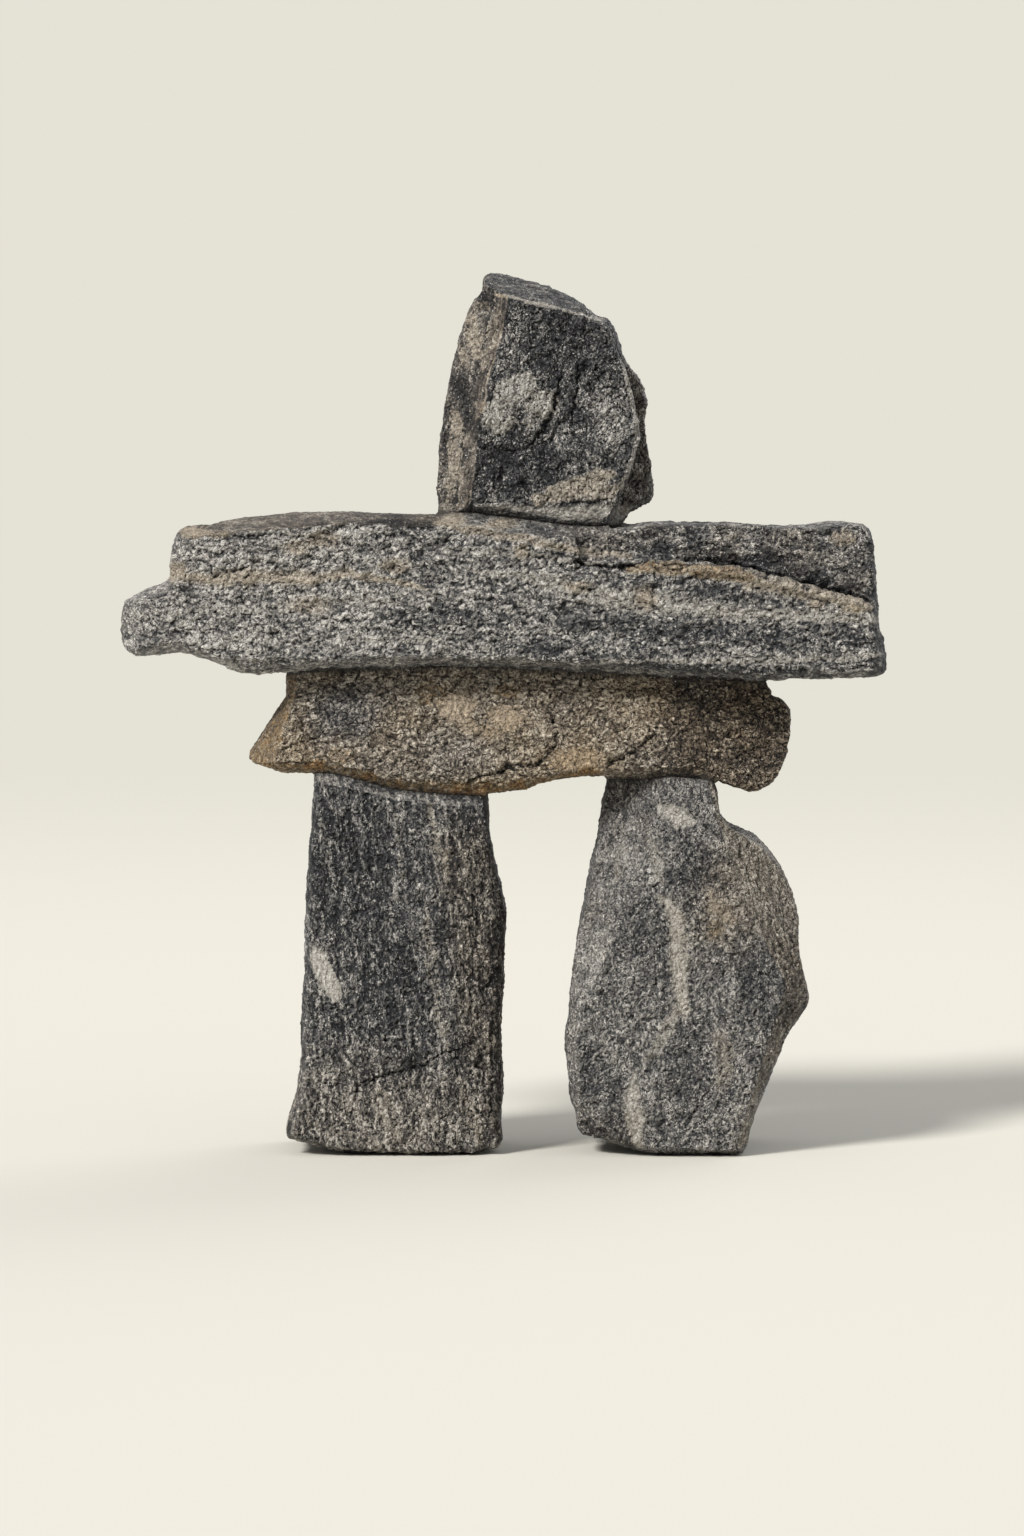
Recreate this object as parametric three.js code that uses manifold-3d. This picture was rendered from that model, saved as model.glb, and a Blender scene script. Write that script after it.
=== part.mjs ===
// A small figure-shaped stone cairn: five separate natural stones stacked dry, with no mortar.
//
//   head_stone        tall tapering stone on top
//   arm_slab          long flat slab that reaches out to both sides
//   belt_stone        short thick stone under the slab
//   left_leg_stone    left standing stone
//   right_leg_stone   right standing stone, with a shoulder
//
// Millimetres, +Z up, front towards -Y, +X to the right seen from the front.
// The origin is the middle of the footprint box, on the surface that the legs stand on.
// Each stone is its front outline extruded through its thickness, rounded off towards the front and
// back, and then split by flat cleavage cuts, the way gneiss and mica schist break.

import * as THREE from 'three';
import { mergeVertices } from 'three/addons/utils/BufferGeometryUtils.js';
import Module from 'manifold-3d';

// ---------------------------------------------------------------- driving dimensions (mm)

const BED_GAP = 0.3;              // dry joint between one stone and the next
const HEAD_FRONT = -20, HEAD_BACK = 19;
const ARM_FRONT = -23, ARM_BACK = 22;
const BELT_FRONT = -17.5, BELT_BACK = 18;
const LEG_L_FRONT = -18.5, LEG_L_BACK = 17;
const LEG_R_FRONT = -20, LEG_R_BACK = 18.5;
const GROUND = 0;                 // the plane that both legs are cut flat on

// Front outlines, [x, z], clockwise from the top left corner. Neighbouring outlines follow each
// other along the beds they share, BED_GAP or a little more apart.

const HEAD_OUTLINE = [
  [-4.3, 172], [-4.1, 175], [-2.3, 175.6], [0.5, 175.4], [4.3, 174.2], [9.3, 172.8],
  [14.3, 170.4], [18.5, 167.2], [21.1, 166.6], [22.5, 164.6], [23.5, 161], [24.7, 157.6],
  [26.5, 155.6], [28.3, 152.6], [28.9, 150], [28.3, 146.4], [28.7, 142], [29.5, 137.6],
  [30.3, 132.4], [29.9, 130], [27.3, 128.6], [24.7, 127.4], [22.9, 125.3], [18.5, 124.9],
  [13.3, 125.1], [6.3, 126], [-0.7, 127.3], [-6.7, 127.7], [-13.1, 127.8], [-13.3, 132.4],
  [-13.2, 137], [-12.9, 143], [-11.7, 150], [-10.3, 157], [-8.7, 162.4], [-7.3, 167.6],
  [-5.9, 170.2],
];

const ARM_OUTLINE = [
  [-65.1, 123.4], [-63.9, 125], [-60.9, 125.3], [-57.9, 125.2], [-56.3, 126],
  [-52.7, 126.6], [-47.3, 127.2], [-39.9, 127.9], [-30.7, 127.9], [-20.7, 127.5],
  [-13.1, 127.4], [-6.7, 127.3], [-0.7, 126.9], [6.3, 125.6], [13.3, 124.7], [18.5, 124.5],
  [22.9, 124.9], [27.3, 125.7], [32.1, 125.9], [42.5, 125.9], [50.1, 125.6], [55.5, 125.2],
  [61.9, 125.4], [65.5, 126], [70.9, 125.8], [72.5, 124.8], [73.3, 122], [73.9, 118.4],
  [74.4, 111.4], [74.9, 106], [75.8, 101.4], [76.2, 98.2], [75.7, 96.2], [74.5, 95.2],
  [67.9, 94.8], [59.1, 94.8], [51.9, 94.6], [43.3, 94.8], [33.9, 95.4], [23.3, 96.2],
  [11.3, 96.8], [-0.7, 97.1], [-12.7, 97.4], [-22.7, 97.4], [-32.7, 97], [-40.7, 96.4],
  [-48.3, 95.8], [-52.7, 96.1], [-56.3, 97.4], [-59.7, 98.8], [-64.3, 100], [-68.7, 99.6],
  [-72.7, 99.4], [-75.1, 100.2], [-76.1, 102.8], [-76.3, 107], [-75.9, 109.8],
  [-73.9, 111.2], [-70.7, 112.8], [-67.7, 113.8], [-66.1, 114.8], [-66.3, 117.4],
  [-65.7, 120.4],
];

const BELT_OUTLINE = [
  [-43.3, 95.8], [-40.7, 96], [-32.7, 96.6], [-22.7, 97], [-12.7, 97], [-0.7, 96.7],
  [11.3, 96.4], [23.3, 95.8], [33.9, 95], [43.3, 94.4], [51.9, 94.2], [52.5, 93.4],
  [53.5, 92], [53.9, 90.7], [55.5, 90.1], [57.1, 88.9], [57.8, 86.8], [57.5, 83.4],
  [56.7, 79.4], [54.7, 75.4], [53.1, 73.5], [50.7, 72.1], [48.3, 72.3], [44.7, 73.5],
  [41.9, 74.6], [38.1, 75.3], [32.9, 75.7], [26.9, 75.1], [20.3, 74.6], [17.1, 74.6],
  [14.7, 74.2], [10.3, 74.2], [7.1, 73.6], [4.3, 72.7], [1.7, 72.3], [-2.7, 71.7],
  [-6.7, 71.6], [-10.3, 71.7], [-15.9, 72.2], [-21.5, 72.8], [-24.3, 73.6], [-28.1, 74.5],
  [-31.1, 75.3], [-34.7, 76], [-38.5, 75.9], [-42.5, 76], [-45.9, 76.5], [-49.1, 77.4],
  [-51.3, 78.3], [-51.2, 79.6], [-48.7, 83.4], [-46.7, 87], [-44.7, 89.6], [-43.7, 91.2],
  [-43.8, 92.6],
];

const LEG_L_OUTLINE = [
  [-37.7, 75.5], [-34.7, 75.6], [-31.1, 74.9], [-28.1, 74.1], [-24.3, 73.2], [-21.5, 72.4],
  [-15.9, 71.7], [-10.3, 71.2], [-6.7, 71.1], [-3.1, 71.2], [-2.7, 68.3], [-2.5, 63.4],
  [-1.5, 58.5], [-0.7, 55.2], [0.1, 51.3], [0.5, 48.7], [0.3, 43], [-0.1, 37.5],
  [0.1, 34.2], [-0.2, 31.1], [-0.5, 27], [-0.3, 20.5], [0.1, 15.6], [0.1, 10.7],
  [-0.5, 7.7], [-0.3, 3], [-1.1, 1.3], [-4.7, 0.4], [-8.5, -0.3], [-14.9, -0.3],
  [-20.5, -0.3], [-27.5, -0.3], [-30.7, -0.1], [-34.5, 0.7], [-38.7, 1.9], [-42.9, 3],
  [-43.6, 4.4], [-42.9, 7.7], [-41.6, 11.5], [-40.8, 18.1], [-40.5, 25.2], [-40.2, 29.3],
  [-39.7, 36.4], [-39.8, 43], [-39.4, 50.5], [-38.9, 59.9], [-38.4, 67.2],
];

const LEG_R_OUTLINE = [
  [21, 74.2], [26.9, 74.7], [32.9, 75.3], [38.1, 74.9], [41.5, 74.2], [42.7, 72.2],
  [42.8, 70.1], [43.1, 67.9], [45.1, 65.3], [47.9, 64.3], [50.7, 62.7], [53.7, 59.6],
  [55.9, 56.5], [57.5, 52.9], [58.5, 49.3], [59.2, 46.4], [59, 42.4], [59.2, 38.9],
  [60.1, 34.9], [61, 31.6], [60.9, 29.4], [58.9, 26.4], [56.5, 23], [54.1, 17.2],
  [51.7, 11.8], [50.5, 8.7], [49.5, 5.3], [49.1, 1.4], [47.9, -0.2], [43.7, -0.4],
  [38.5, -0.4], [31.7, -0.2], [27.3, 0.4], [23.7, 1.6], [19.7, 2.8], [15.5, 3.7],
  [14.5, 4.6], [14.1, 8.7], [13.1, 11.8], [12.9, 15.6], [12.4, 19.3], [12.2, 22.7],
  [13.1, 26.8], [13.2, 30.8], [13.7, 35.9], [14.1, 38.9], [14.7, 44], [15.5, 47.4],
  [16.7, 52.1], [17.5, 56.8], [18.7, 62.4], [19.1, 66.1], [20, 70.1],
];

// ---------------------------------------------------------------- solids

const wasm = await Module();
wasm.setup();

function toSolid(geometry) {
  let g = geometry.index ? geometry.toNonIndexed() : geometry.clone();
  for (const name of Object.keys(g.attributes)) if (name !== 'position') g.deleteAttribute(name);
  g = mergeVertices(g, 1e-4);
  return new wasm.Manifold(new wasm.Mesh({
    numProp: 3,
    vertProperties: new Float32Array(g.attributes.position.array),
    triVerts: new Uint32Array(g.index.array),
  }));
}

function toGeometry(solid) {
  const m = solid.getMesh();
  const pos = new Float32Array(m.numVert * 3);
  for (let i = 0; i < m.numVert; i++) {
    for (let k = 0; k < 3; k++) pos[3 * i + k] = m.vertProperties[m.numProp * i + k];
  }
  const g = new THREE.BufferGeometry();
  g.setAttribute('position', new THREE.BufferAttribute(pos, 3));
  g.setIndex(new THREE.BufferAttribute(new Uint32Array(m.triVerts), 1));
  g.computeVertexNormals();
  return g;
}

// Repeatable smooth noise in -1..1 on a unit lattice.
function lattice(i, j, k) {
  let h = (i * 374761393 + j * 668265263 + k * 2147483647) | 0;
  h = Math.imul(h ^ (h >>> 13), 1274126177);
  h ^= h >>> 16;
  return ((h >>> 0) / 4294967295) * 2 - 1;
}
function noise(x, y, z) {
  const i = Math.floor(x), j = Math.floor(y), k = Math.floor(z);
  const s = (t) => t * t * (3 - 2 * t);
  const u = s(x - i), v = s(y - j), w = s(z - k);
  let total = 0;
  for (let a = 0; a < 2; a++) for (let b = 0; b < 2; b++) for (let c = 0; c < 2; c++) {
    total += lattice(i + a, j + b, k + c) * (a ? u : 1 - u) * (b ? v : 1 - v) * (c ? w : 1 - w);
  }
  return total;
}

// The rough block: the outline extruded from y = front to y = back in `steps` layers. Each layer is
// drawn in from the outline, a little everywhere and more towards the front and back faces, so the
// edges are worn rather than sharp. Nothing is ever pushed out past the outline.
function block(outline, front, back, { steps = 8, edge = 2.2, wear = 7, rough = 0.9, seed = 1 } = {}) {
  const shape = new THREE.Shape(outline.map(([x, z]) => new THREE.Vector2(x, z)));
  const g = new THREE.ExtrudeGeometry(shape, { depth: back - front, steps, bevelEnabled: false });
  g.rotateX(Math.PI / 2);
  g.translate(0, back, 0);

  const n = outline.length;
  let area = 0;
  for (let i = 0; i < n; i++) {
    const [x0, z0] = outline[i], [x1, z1] = outline[(i + 1) % n];
    area += x0 * z1 - x1 * z0;
  }
  const sign = area > 0 ? 1 : -1;
  const inward = outline.map((_, i) => {
    let dx = 0, dz = 0;
    for (let k = -2; k < 2; k++) {
      const a = outline[(i + k + n) % n], b = outline[(i + k + 1 + n) % n];
      const len = Math.hypot(b[0] - a[0], b[1] - a[1]) || 1;
      const weight = k === -1 || k === 0 ? 2 : 1;
      dx += weight * (b[0] - a[0]) / len;
      dz += weight * (b[1] - a[1]) / len;
    }
    const len = Math.hypot(dx, dz) || 1;
    return [-dz / len * sign, dx / len * sign];
  });
  const index = new Map(outline.map(([x, z], i) => [`${x.toFixed(2)},${z.toFixed(2)}`, i]));

  const p = g.attributes.position;
  for (let v = 0; v < p.count; v++) {
    const x = p.getX(v), y = p.getY(v), z = p.getZ(v);
    const i = index.get(`${x.toFixed(2)},${z.toFixed(2)}`);
    const fromFace = Math.min(y - front, back - y);
    const t = Math.max(0, 1 - fromFace / wear);
    let inset = edge * t * t;
    inset += rough * Math.max(0, noise(x / 9 + seed, y / 8, z / 9 - seed));
    p.setX(v, x + inward[i][0] * inset);
    p.setZ(v, z + inward[i][1] * inset);
  }
  return toSolid(g);
}

// A flat cleavage cut through three points. Everything on the side of `away` is split off.
function split(solid, a, b, c, away) {
  const A = new THREE.Vector3(...a);
  const normal = new THREE.Vector3(...b).sub(A).cross(new THREE.Vector3(...c).sub(A)).normalize();
  if (normal.dot(new THREE.Vector3(...away)) < 0) normal.negate();
  const size = 400;
  const cutter = new THREE.BoxGeometry(size, size, size);
  cutter.translate(0, 0, size / 2);
  cutter.applyQuaternion(new THREE.Quaternion().setFromUnitVectors(new THREE.Vector3(0, 0, 1), normal));
  cutter.translate(...a);
  return solid.subtract(toSolid(cutter));
}

// The same cut, but only inside an [x, z] region, so a facet can end at a crack or a corner.
function chip(solid, region, a, b, c, away) {
  const A = new THREE.Vector3(...a);
  const normal = new THREE.Vector3(...b).sub(A).cross(new THREE.Vector3(...c).sub(A)).normalize();
  if (normal.dot(new THREE.Vector3(...away)) < 0) normal.negate();
  const size = 400;
  const cutter = new THREE.BoxGeometry(size, size, size);
  cutter.translate(0, 0, size / 2);
  cutter.applyQuaternion(new THREE.Quaternion().setFromUnitVectors(new THREE.Vector3(0, 0, 1), normal));
  cutter.translate(...a);
  const shape = new THREE.Shape(region.map(([x, z]) => new THREE.Vector2(x, z)));
  const column = new THREE.ExtrudeGeometry(shape, { depth: 200, bevelEnabled: false });
  column.rotateX(Math.PI / 2);
  column.translate(0, 100, 0);
  return solid.subtract(toSolid(cutter).intersect(toSolid(column)));
}

// A step split off the front: the [x, z] region is taken away from y = front - 5 to y = depth.
function step(solid, region, front, depth) {
  const shape = new THREE.Shape(region.map(([x, z]) => new THREE.Vector2(x, z)));
  const g = new THREE.ExtrudeGeometry(shape, { depth: depth - (front - 5), bevelEnabled: false });
  g.rotateX(Math.PI / 2);
  g.translate(0, depth, 0);
  return solid.subtract(toSolid(g));
}

const FRONT = [0, -1, 0], BACK = [0, 1, 0], UP = [0, 0, 1], DOWN = [0, 0, -1];
const LEFT = [-1, 0, 0], RIGHT = [1, 0, 0];

// ---------------------------------------------------------------- head stone

const REAR_LAYER = [[21.3, 167.5], [22.8, 163.6], [24.0, 157.4], [25.8, 150.4], [27.1, 143.2],
  [26.0, 138.6], [24.6, 134], [22.7, 130.2], [20.9, 126.6], [20.6, 120], [45, 120], [45, 185], [21.3, 185]];

function headStone() {
  const f = HEAD_FRONT;
  let s = block(HEAD_OUTLINE, f, HEAD_BACK, { edge: 1.6, wear: 6, rough: 0.8, seed: 3 });
  // pale streaky bevel down the whole left front edge
  s = split(s, [1.3, f, 169.4], [-7.3, f, 129], [-13.4, -12.5, 140], LEFT);
  // dark top facet, rising from the front edge to the ridge
  s = split(s, [-3.1, f, 171.0], [18.3, f, 166.6], [5.5, -6, 174.6], UP);
  // the ridge falls away to the back
  s = split(s, [-4, 3, 176.3], [22, 3, 166.6], [6, 19, 166], UP);
  // the front layer ends at the right in a step, and the rear layer stands out behind it
  s = step(s, REAR_LAYER, f, -12);
  s = chip(s, REAR_LAYER, [22, -12, 150], [22.5, -12, 128], [30.5, -7, 138], FRONT);
  // and the front layer's right edge is bevelled where it turns into the step
  s = chip(s, [[10, 118], [60, 118], [60, 142], [10, 142]], [26.6, f + 0.4, 142], [21.4, f + 0.4, 127], [24.6, -13, 129], RIGHT);
  // foot of the front face
  s = split(s, [-8, f, 129.4], [22, f, 130.2], [6, -17.6, 124], DOWN);
  // back: two facets meeting on a slanting ridge, and a chipped lower corner
  s = split(s, [-12.6, 4, 150], [-13.4, 6, 128], [4, 19.5, 146], LEFT);
  s = split(s, [30.5, 5, 136], [29, 3, 152], [13, 19.5, 140], RIGHT);
  s = split(s, [-4, 19, 134], [22, 19, 138], [10, 13.5, 124], DOWN);
  return s;
}

// ---------------------------------------------------------------- arm slab

const UPPER_RIGHT_LAYER = [[14.5, 121.5], [16.5, 118.3], [28.3, 118.9], [41.1, 118.3], [44.7, 117.1],
  [53.7, 114.5], [62.5, 112.3], [70.5, 110.0], [82, 107.2], [82, 135], [16, 135]];

function armSlab() {
  const f = ARM_FRONT, b = ARM_BACK;
  let s = block(ARM_OUTLINE, f, b, { edge: 1.8, wear: 6, rough: 1.0, seed: 7 });
  // worn top strip over the left arm
  s = split(s, [-57.3, f, 123.6], [-30, f, 126.2], [-46, -10, 128.4], UP);
  // the upper layer on the right has come away down to a sloping crack
  s = step(s, UPPER_RIGHT_LAYER, f, f + 2.4);
  s = chip(s, UPPER_RIGHT_LAYER, [18, f + 2.4, 118], [70, f + 2.6, 110], [50, f + 5.2, 126.5], FRONT);
  // lower front edge
  s = split(s, [-70, f, 99.6], [70, f, 97.2], [0, -19.5, 94.4], DOWN);
  // blunt left end
  s = split(s, [-76.4, -14, 98], [-76.2, -14, 113], [-71.5, -23.4, 105], LEFT);
  s = chip(s, [[-90, 114.6], [-50, 114.6], [-50, 140], [-90, 140]],
    [-66.6, -17, 116], [-66.0, -17, 126], [-62.5, -23.6, 121], LEFT);
  // square right end
  s = split(s, [76.4, -15.5, 96], [74.6, -15.5, 116], [73.2, -23.4, 104], RIGHT);
  // back: sloping upper and lower facets and two broken corners
  s = split(s, [-60, b, 117], [60, b, 113], [0, 13.5, 128.5], UP);
  s = split(s, [-60, b, 105], [60, b, 102], [0, 15.5, 94], DOWN);
  s = split(s, [-76.6, 4, 104], [-76.0, 7, 112], [-49, 22.5, 108], LEFT);
  s = split(s, [76.2, 9, 100], [74.6, 11, 120], [57, 22.5, 112], RIGHT);
  s = split(s, [-30, b + 0.1, 108], [20, b - 3.4, 110], [0, b - 1.0, 98], BACK);
  return s;
}

// ---------------------------------------------------------------- belt stone

function beltStone() {
  const f = BELT_FRONT, b = BELT_BACK;
  let s = block(BELT_OUTLINE, f, b, { edge: 2.0, wear: 6, rough: 1.0, seed: 12 });
  // the front leans back towards the top
  s = split(s, [-45, f, 76], [30, f, 75], [0, -12.4, 97], FRONT);
  // smooth left facet
  s = split(s, [-41, -15.5, 91], [-45, -17.4, 79.5], [-49.5, -6, 85], LEFT);
  // right third turns away from the front
  s = split(s, [30, -14.2, 92], [35, -17.6, 76], [57.8, -7.5, 84], RIGHT);
  // ragged lower front edge
  s = split(s, [-45, f, 76.0], [57, f, 74.6], [0, -14.4, 70.4], DOWN);
  // back facets
  s = split(s, [-50, b, 84], [50, b, 88], [0, 11, 97.4], UP);
  s = split(s, [-51.5, 3, 80], [-46, 6, 92], [-28, 18.4, 84], LEFT);
  s = split(s, [57.8, 5, 84], [55, 6, 92], [36, 18.4, 84], RIGHT);
  s = split(s, [-40, b, 81], [40, b, 79], [0, 12.5, 71], DOWN);
  return s;
}

// ---------------------------------------------------------------- left leg

function leftLeg() {
  const f = LEG_L_FRONT, b = LEG_L_BACK;
  let s = block(LEG_L_OUTLINE, f, b, { edge: 1.5, wear: 5, rough: 0.7, seed: 21 });
  // pale bevel under the belt
  s = split(s, [-37, f, 73.0], [-3, f, 69.2], [-20, -14.2, 75.4], UP);
  // front face: main plane leans back a touch, right third turns a little to the right
  s = split(s, [-40, f + 0.2, 4], [0, f + 0.2, 4], [-20, f + 1.4, 70], FRONT);
  s = split(s, [-8, f + 0.9, 66], [-13, f, 6], [1, f + 3.4, 36], RIGHT);
  // dark narrow facet down the lower right edge
  s = split(s, [-2.2, f + 2, 30], [-2.8, f + 1, 3], [0.7, -11.5, 18], RIGHT);
  // left front edge
  s = split(s, [-36.6, f, 66], [-41.4, f, 8], [-41.2, -14, 34], LEFT);
  // back: broad facet, and both long edges broken off
  s = split(s, [-44, 11.5, 10], [-38, 9, 72], [-20, 17.3, 40], LEFT);
  s = split(s, [0.6, 9, 20], [0.2, 7, 60], [-14, 17.3, 30], RIGHT);
  s = split(s, [-40, b, 60], [0, b, 56], [-18, 10.5, 76], UP);
  s = split(s, [-60, -40, GROUND], [60, -40, GROUND], [0, 40, GROUND], DOWN);
  return s;
}

// ---------------------------------------------------------------- right leg

function rightLeg() {
  const f = LEG_R_FRONT, b = LEG_R_BACK;
  let s = block(LEG_R_OUTLINE, f, b, { edge: 1.8, wear: 6, rough: 0.8, seed: 33 });
  // narrow neck: the upper front leans back
  s = split(s, [15, f, 52], [55, f, 50], [32, -15.4, 75], FRONT);
  // long streaky facet down the left edge
  s = split(s, [30.5, -16.4, 69], [18.5, -20.2, 36], [12.9, -11.5, 40], LEFT);
  // shoulder facet on the upper right
  s = split(s, [42.5, -16.6, 68], [53.0, -20.2, 40], [58.5, -10.5, 50], RIGHT);
  // lower right side
  s = split(s, [54.5, -20.2, 30], [46.5, -20.2, 4], [57.5, -13.5, 22], RIGHT);
  // chipped lower left corner
  s = split(s, [13.6, -18.5, 13], [26, -20.2, 1.0], [14, -13, 4], DOWN);
  // back: broad facets and a broken shoulder
  s = split(s, [12.0, 6, 20], [16, 6, 60], [30, 18.8, 36], LEFT);
  s = split(s, [61.4, 4, 30], [58, 5, 50], [44, 18.8, 30], RIGHT);
  s = split(s, [20, b, 56], [60, b, 44], [38, 9.5, 75.5], UP);
  s = split(s, [-60, -40, GROUND], [90, -40, GROUND], [0, 40, GROUND], DOWN);
  return s;
}

// ---------------------------------------------------------------- assembly

const solids = {
  head_stone: headStone(),
  arm_slab: armSlab(),
  belt_stone: beltStone(),
  left_leg_stone: leftLeg(),
  right_leg_stone: rightLeg(),
};

const colours = {
  head_stone: '#5c5956',
  arm_slab: '#787572',
  belt_stone: '#72675a',
  left_leg_stone: '#5e5c59',
  right_leg_stone: '#767471',
};

// Recentre on the footprint: x and y on the middle of the whole box, z already 0 on the ground.
let low = [Infinity, Infinity, Infinity], high = [-Infinity, -Infinity, -Infinity];
for (const s of Object.values(solids)) {
  const box = s.boundingBox();
  low = low.map((v, k) => Math.min(v, box.min[k]));
  high = high.map((v, k) => Math.max(v, box.max[k]));
}
const shift = [-(low[0] + high[0]) / 2, -(low[1] + high[1]) / 2, -low[2]];

const cairn = new THREE.Group();
for (const [name, solid] of Object.entries(solids)) {
  const mesh = new THREE.Mesh(toGeometry(solid), new THREE.MeshStandardMaterial({
    color: colours[name], roughness: 0.8, metalness: 0, flatShading: true,
  }));
  mesh.name = name;
  mesh.position.set(...shift);
  cairn.add(mesh);
}

export default cairn;
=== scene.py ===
"""Stone cairn: five dry-stacked stones, standing. Each CAD stone is remeshed and given its grain, foliation, cracks and
worn edges as real relief, with masks for its veins, lenses and rust kept as mesh attributes that the node materials read."""

import math

import bmesh
import bpy
import numpy as np
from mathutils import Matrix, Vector
from mathutils.bvhtree import BVHTree


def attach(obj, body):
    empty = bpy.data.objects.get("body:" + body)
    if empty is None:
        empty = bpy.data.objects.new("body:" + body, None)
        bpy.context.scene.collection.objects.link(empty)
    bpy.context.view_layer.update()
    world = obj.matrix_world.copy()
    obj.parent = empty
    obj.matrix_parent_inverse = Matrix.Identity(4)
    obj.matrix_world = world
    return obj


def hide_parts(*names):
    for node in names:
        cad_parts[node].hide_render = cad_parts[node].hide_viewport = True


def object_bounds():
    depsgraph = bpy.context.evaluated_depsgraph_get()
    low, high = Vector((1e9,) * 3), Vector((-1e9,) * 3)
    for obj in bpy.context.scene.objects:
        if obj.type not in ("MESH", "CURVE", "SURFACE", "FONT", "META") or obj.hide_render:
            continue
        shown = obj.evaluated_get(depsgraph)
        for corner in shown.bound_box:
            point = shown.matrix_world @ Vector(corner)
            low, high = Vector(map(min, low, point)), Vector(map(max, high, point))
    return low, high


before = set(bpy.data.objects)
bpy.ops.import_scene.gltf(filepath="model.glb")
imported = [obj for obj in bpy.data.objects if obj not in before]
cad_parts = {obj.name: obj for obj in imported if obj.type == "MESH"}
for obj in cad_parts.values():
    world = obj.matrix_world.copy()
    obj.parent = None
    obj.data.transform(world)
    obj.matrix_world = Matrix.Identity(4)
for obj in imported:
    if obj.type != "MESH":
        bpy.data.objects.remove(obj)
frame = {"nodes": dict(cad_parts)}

CAD_LO, CAD_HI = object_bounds()

# ------------------------------------------------------------------ repeatable noise (numpy, positions in mm)


def mix_bits(h):
    h = h.astype(np.uint32)
    h ^= h >> np.uint32(16)
    h *= np.uint32(0x7FEB352D)
    h ^= h >> np.uint32(15)
    h *= np.uint32(0x846CA68B)
    h ^= h >> np.uint32(16)
    return h


def hash3(i, j, k, seed):
    with np.errstate(over="ignore"):
        h = (
            i.astype(np.int64) * 73856093
            ^ j.astype(np.int64) * 19349663
            ^ k.astype(np.int64) * 83492791
            ^ (seed * 2654435761)
        ) & 0xFFFFFFFF
        return mix_bits(h.astype(np.uint32))


def unit(h):
    return h.astype(np.float64) / 4294967295.0


def rand3(h):
    with np.errstate(over="ignore"):
        a = unit(mix_bits(h + np.uint32(0x9E3779B9)))
        b = unit(mix_bits(h + np.uint32(0x3C6EF372)))
        c = unit(mix_bits(h + np.uint32(0xDAA66D2B)))
    return np.stack([a, b, c], 1)


def perlin(P, size, seed):
    """Gradient noise, about -1 to 1."""
    q = P / size
    i = np.floor(q).astype(np.int64)
    f = q - i
    w = f * f * f * (f * (f * 6 - 15) + 10)
    out = np.zeros(len(P))
    for a in (0, 1):
        for b in (0, 1):
            for c in (0, 1):
                h = hash3(i[:, 0] + a, i[:, 1] + b, i[:, 2] + c, seed)
                g = rand3(h) * 2 - 1
                d = g[:, 0] * (f[:, 0] - a) + g[:, 1] * (f[:, 1] - b) + g[:, 2] * (f[:, 2] - c)
                wx = w[:, 0] if a else 1 - w[:, 0]
                wy = w[:, 1] if b else 1 - w[:, 1]
                wz = w[:, 2] if c else 1 - w[:, 2]
                out += d * wx * wy * wz
    return out * 1.6


def fbm(P, size, seed, octaves=3, gain=0.5):
    out, amp, total = np.zeros(len(P)), 1.0, 0.0
    for o in range(octaves):
        out += amp * perlin(P, size / 2**o, seed + 17 * o)
        total += amp
        amp *= gain
    return out / total


def cells(P, size, seed):
    """Worley cells: nearest and second nearest distance in cell sizes, a hash for the nearest cell and the way from its
    middle to the point."""
    q = P / size
    i = np.floor(q).astype(np.int64)
    f = q - i
    n = len(P)
    d1, d2 = np.full(n, 9.0), np.full(n, 9.0)
    own = np.zeros(n, np.uint32)
    way = np.zeros((n, 3))
    for a in (-1, 0, 1):
        for b in (-1, 0, 1):
            for c in (-1, 0, 1):
                h = hash3(i[:, 0] + a, i[:, 1] + b, i[:, 2] + c, seed)
                r = rand3(h)
                dx = f[:, 0] - (a + r[:, 0])
                dy = f[:, 1] - (b + r[:, 1])
                dz = f[:, 2] - (c + r[:, 2])
                d = dx * dx + dy * dy + dz * dz
                near = d < d1
                d2 = np.where(near, d1, np.minimum(d2, d))
                own = np.where(near, h, own)
                way[near] = np.stack([dx, dy, dz], 1)[near]
                d1 = np.where(near, d, d1)
    return np.sqrt(d1), np.sqrt(d2), own, way


def ramp(x, a, b):
    t = np.clip((x - a) / (b - a), 0, 1)
    return t * t * (3 - 2 * t)


# ------------------------------------------------------------------ marks laid on a stone, in x, z of its front (mm)


def blob(P, cx, cz, rx, rz, turn=0.0, soft=0.35, rag=0.25, seed=1, ragsize=2.5):
    """1 inside an ellipse with a ragged edge, 0 outside."""
    c, s = math.cos(math.radians(turn)), math.sin(math.radians(turn))
    dx, dz = P[:, 0] - cx, P[:, 2] - cz
    u, v = (dx * c + dz * s) / rx, (-dx * s + dz * c) / rz
    r = np.sqrt(u * u + v * v) + rag * fbm(P, ragsize, seed, 3, 0.6)
    return 1 - ramp(r, 1 - soft, 1 + soft)


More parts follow.
